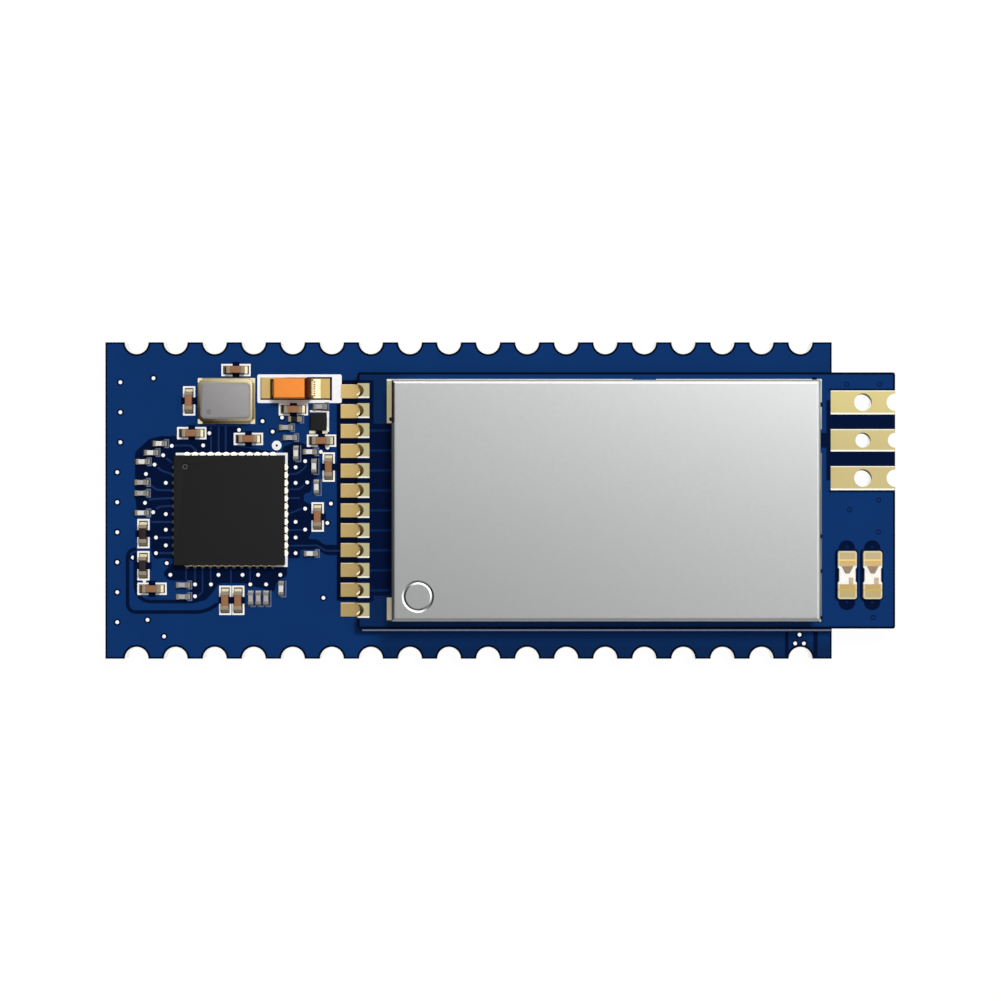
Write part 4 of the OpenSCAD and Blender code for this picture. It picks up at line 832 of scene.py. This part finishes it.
# Shield can: one sheet of nickel silver, folded down on four sides, with a ring pressed in at one corner.
# It has a fine satin grain and softly rolled upper edges.
# Its rim is soldered to tinned strips on the radio board, which show as narrow bands beside it.
CAN_HALF_D = 7.6
RING_X, RING_Y, RING_R, RING_REACH = -3.175, -6.043, 0.93, 0.2
pads_finish, pads_tree, pads_shader = new_finish("shield_strip")
x_axis, y_axis, _ = axes(pads_tree)
# Painted light and shade on the strips: past the can's right end they grow lighter towards the top, above the can they
# are near-white, and below it dark navy.
far_end = calc(pads_tree, "GREATER_THAN", x_axis, 20 * MM)
far_side = calc(pads_tree, "GREATER_THAN", y_axis, CAN_HALF_D * MM)
near_side = calc(pads_tree, "LESS_THAN", y_axis, -CAN_HALF_D * MM)
grain = speckle(pads_tree, 0.08)
tone = tint(pads_tree, calc(pads_tree, "LESS_THAN", y_axis, 0), (184, 177, 137), (180, 170, 150))
tone = tint(pads_tree, calc(pads_tree, "MULTIPLY", grain, 0.3), tone, (160, 152, 122))
rising = soft_step(pads_tree, y_axis, 2 * MM, 7 * MM)
tone = tint(pads_tree, far_end, tone, tint(pads_tree, rising, (112, 120, 126), (186, 200, 196)))
tone = tint(pads_tree, far_side, tone, (232, 230, 220))
paint(pads_tree, pads_shader, tint(pads_tree, near_side, tone, (34, 40, 52)), grain)
dress("shield_pads", pads_finish)
shield_finish, shield_tree, shield_shader = new_finish("shield_sheet", roughness=0.42)
x_axis, y_axis, _ = axes(shield_tree)
x_facing, y_facing, z_facing = axes(shield_tree, "Normal")
grain = speckle(shield_tree, 0.05)
mixed = calc(shield_tree, "MULTIPLY", grain, 0.5)
mixed = calc(shield_tree, "MULTIPLY_ADD", speckle(shield_tree, 0.3, 2.0), 0.5, mixed)
# Painted shade: the sheet darkens a little towards its lower left.
lower = calc(shield_tree, "MULTIPLY", soft_step(shield_tree, y_axis, 2 * MM, -CAN_HALF_D * MM),
             soft_step(shield_tree, x_axis, 18 * MM, -2 * MM))
tone = tint(shield_tree, mixed, (150, 151, 151), (160, 161, 161))
tone = tint(shield_tree, calc(shield_tree, "MULTIPLY", lower, 0.7), tone, (144, 145, 145))
ring_x, ring_y = in_mm(shield_tree, x_axis, RING_X), in_mm(shield_tree, y_axis, RING_Y)
squared = calc(shield_tree, "MULTIPLY_ADD", ring_x, ring_x, calc(shield_tree, "MULTIPLY", ring_y, ring_y))
from_ring = away(shield_tree, calc(shield_tree, "SQRT", squared), RING_R)
on_ring = calc(shield_tree, "LESS_THAN", from_ring, RING_REACH)
# Painted light and shade on the pressed ring: slopes turned up and right are lighter, slopes turned down and left
# darker.
slope = calc(shield_tree, "ADD", x_facing, y_facing)
for start, end, slope_tone in ((0.05, 0.4, (198, 198, 198)), (-0.05, -0.4, (104, 104, 106))):
    tilted = calc(shield_tree, "MULTIPLY", on_ring, soft_step(shield_tree, slope, start, end))
    tone = tint(shield_tree, tilted, tone, slope_tone)
# Painted shade: the can's left bend is darkened where it faces left, most beside the upper strip.
beside_strip = calc(shield_tree, "MULTIPLY_ADD", calc(shield_tree, "GREATER_THAN", y_axis, 4.9 * MM), 0.6, 0.35)
left_bend = calc(shield_tree, "MULTIPLY", soft_step(shield_tree, x_facing, -0.15, -0.6), beside_strip)
left_bend = calc(shield_tree, "MULTIPLY", left_bend, soft_step(shield_tree, z_facing, 0.05, 0.25))
paint(shield_tree, shield_shader, tint(shield_tree, left_bend, tone, (44, 34, 34)), grain)
shield_tree.links.new(calc(shield_tree, "MULTIPLY_ADD", grain, 0.16, 0.34), shield_shader.inputs["Roughness"])
dress("shield_can", shield_finish)


# Indicator lights: white laminate bases with gold end fields, soldered to the radio board by those ends.
# A clear lens is moulded over the middle of each, so the gold tongue and finger show through it.
PAIR_X, PAIR_HALF, LIGHTS_Y = 24.865, 0.805, -4.73
FIELD_HALF_W, FIELD_HALF_L, STRIPE_Y, TONGUE_Y = 0.5, 1.43, 0.95, 0.56
LENS_FOOT = 3.066
dress("led_bases", grained_finish("led_base", (253, 250, 244), 0.02, depth_mm=0.002))
field_finish, field_tree, field_shader = new_finish("led_gold")
x_axis, y_axis, _ = axes(field_tree)
from_middle = away(field_tree, in_mm(field_tree, y_axis, LIGHTS_Y))
from_axis = away(field_tree, away(field_tree, in_mm(field_tree, x_axis, PAIR_X)), PAIR_HALF)
rim = calc(field_tree, "MAXIMUM", calc(field_tree, "SUBTRACT", from_axis, FIELD_HALF_W),
           calc(field_tree, "SUBTRACT", from_middle, FIELD_HALF_L))
stripe = calc(field_tree, "LESS_THAN", away(field_tree, from_middle, STRIPE_Y), 0.045)
upper = calc(field_tree, "GREATER_THAN", y_axis, LIGHTS_Y * MM)
inner = calc(field_tree, "LESS_THAN", from_middle, TONGUE_Y)
outer_part = calc(field_tree, "GREATER_THAN", from_middle, STRIPE_Y)
grain = speckle(field_tree, 0.08)
upper_gold = tint(field_tree, outer_part, (208, 177, 120), (192, 175, 135))
lower_gold = tint(field_tree, outer_part, (193, 166, 108), (186, 169, 121))
gold = tint(field_tree, upper, lower_gold, upper_gold)
gold = tint(field_tree, calc(field_tree, "MULTIPLY", grain, 0.3), gold, (164, 142, 98))
gold = tint(field_tree, calc(field_tree, "GREATER_THAN", rim, 0), gold, (210, 198, 160))
gold = tint(field_tree, stripe, gold, tint(field_tree, upper, (198, 170, 98), (238, 203, 124)))
tongue = tint(field_tree, upper, (190, 166, 124), (128, 99, 54))
paint(field_tree, field_shader, tint(field_tree, inner, gold, tongue), grain)
dress("led_terminals", field_finish)
lens_finish, lens_tree, lens_shader = new_finish("led_lens", 0, 0.12, 0.3)
lens_shader.inputs["Base Color"].default_value = colour((252, 251, 247))
lens_shader.inputs["Alpha"].default_value = 0.08
domes = eased_copy("led_lenses", "led_domes", 0.03)
for corner in domes.data.vertices:
    corner.co.z = max(corner.co.z, LENS_FOOT * MM)
add_piece(domes, lens_finish, "led_lens", "led_lenses")


# Floor: a plain white table top that the module lies on. It isn't part of the object.
# The camera and the metal see it as white, and it keeps a little of the module's soft shadow.
def seen_by_eye(tree):
    path = tree.nodes.new("ShaderNodeLightPath")
    mirrored = calc(tree, "MAXIMUM", path.outputs["Is Glossy Ray"], path.outputs["Is Transmission Ray"])
    return calc(tree, "MAXIMUM", path.outputs["Is Camera Ray"], mirrored)


bpy.ops.mesh.primitive_plane_add(size=4, location=(0, 0, 0))
floor = bpy.context.object
floor.name = "floor"
floor_finish, floor_tree, floor_shader = new_finish("floor_white", 0, 0.9, 0)
floor_shader.inputs["Base Color"].default_value = (0.95, 0.95, 0.95, 1)
glow = floor_tree.nodes.new("ShaderNodeEmission")
glow.inputs["Strength"].default_value = 1.01
both = floor_tree.nodes.new("ShaderNodeMixShader")
floor_tree.links.new(calc(floor_tree, "MULTIPLY", seen_by_eye(floor_tree), 0.96), both.inputs[0])
floor_tree.links.new(floor_shader.outputs[0], both.inputs[1])
floor_tree.links.new(glow.outputs[0], both.inputs[2])
floor_tree.links.new(both.outputs[0], floor_tree.nodes["Material Output"].inputs[0])
floor.data.materials.append(floor_finish)


# Studio light: an even white surround, a soft key from the upper right, and strips that only metal mirrors.
# The mirror panel lights the can alone. A dark card on the left and a grey one below give the metal its edges.
world = bpy.data.worlds.new("studio")
bpy.context.scene.world = world
world.use_nodes = True
surround = world.node_tree.nodes["Background"]
surround.inputs["Color"].default_value = (1, 1, 1, 1)
strength = calc(world.node_tree, "MULTIPLY_ADD", seen_by_eye(world.node_tree), 0.6, 0.4)
world.node_tree.links.new(strength, surround.inputs["Strength"])


def panel(name, spot, aim, width, depth, power):
    bpy.ops.object.light_add(type="AREA", location=spot)
    light = bpy.context.object
    light.name = name
    light.data.shape = "RECTANGLE"
    light.data.size = width
    light.data.size_y = depth
    light.data.energy = power
    toward = [a - s for a, s in zip(aim, spot)]
    flat = math.hypot(toward[0], toward[1])
    light.rotation_euler = (math.atan2(flat, -toward[2]), 0, math.atan2(toward[1], toward[0]) - math.pi / 2)
    light.visible_camera = False
    return light


key = panel("key", (0.10, 0.17, 0.42), (0, 0, 0), 0.11, 0.11, 1.5)
key.visible_glossy = False
mirror_panel = panel("mirror_panel", (0.022, 0.030, 0.060), (0.0087, 0, 0.0047), 0.07, 0.03, 0.0270)
mirrored = bpy.data.collections.new("mirrored")
mirrored.objects.link(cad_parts["shield_can"])
mirror_panel.light_linking.receiver_collection = mirrored
upper_strip = panel("upper_strip", (0, 0.3, 0.26), (0, 0, 0), 0.4, 0.16, 0.8)
right_strip = panel("right_strip", (0.3, 0.09, 0.26), (0, 0, 0), 0.4, 0.16, 0.62)
for light in (mirror_panel, upper_strip, right_strip):
    light.visible_diffuse = False
for name, grey, spot, turn, stretch in (
        ("left_card", 0.01, (-0.3, 0, 0.17), (0, math.radians(90), 0), (1, 1.9, 1)),
        ("lower_card", 0.65, (0, -0.3, 0.16), (math.radians(90), 0, 0), (1, 1, 1))):
    card_finish, card_tree, card_shader = new_finish(name, 0, 0.9, 0)
    card_shader.inputs["Base Color"].default_value = (grey, grey, grey, 1)
    bpy.ops.mesh.primitive_plane_add(size=0.32, location=spot, rotation=turn)
    card = bpy.context.object
    card.name = name
    card.scale = stretch
    card.data.materials.append(card_finish)
    card.visible_camera = False
    card.visible_diffuse = False
    card.visible_shadow = False


# Camera: straight above the module, at a height that gives the photograph's slight perspective.
# At the carrier's top the view is as wide as the photograph's frame.
VIEW_X, VIEW_HEIGHT, VIEW_WIDTH = 2.0455, 160.0, 64.085
SENSOR = 36
bpy.ops.object.camera_add(location=(VIEW_X * MM, 0, (CARRIER_TOP + VIEW_HEIGHT) * MM), rotation=(0, 0, 0))
camera = bpy.context.object
camera.data.sensor_width = SENSOR
camera.data.lens = SENSOR * VIEW_HEIGHT / VIEW_WIDTH
camera.data.clip_start = 0.01
camera.data.clip_end = 10
bpy.context.scene.camera = camera
bpy.context.scene.view_settings.view_transform = "Standard"
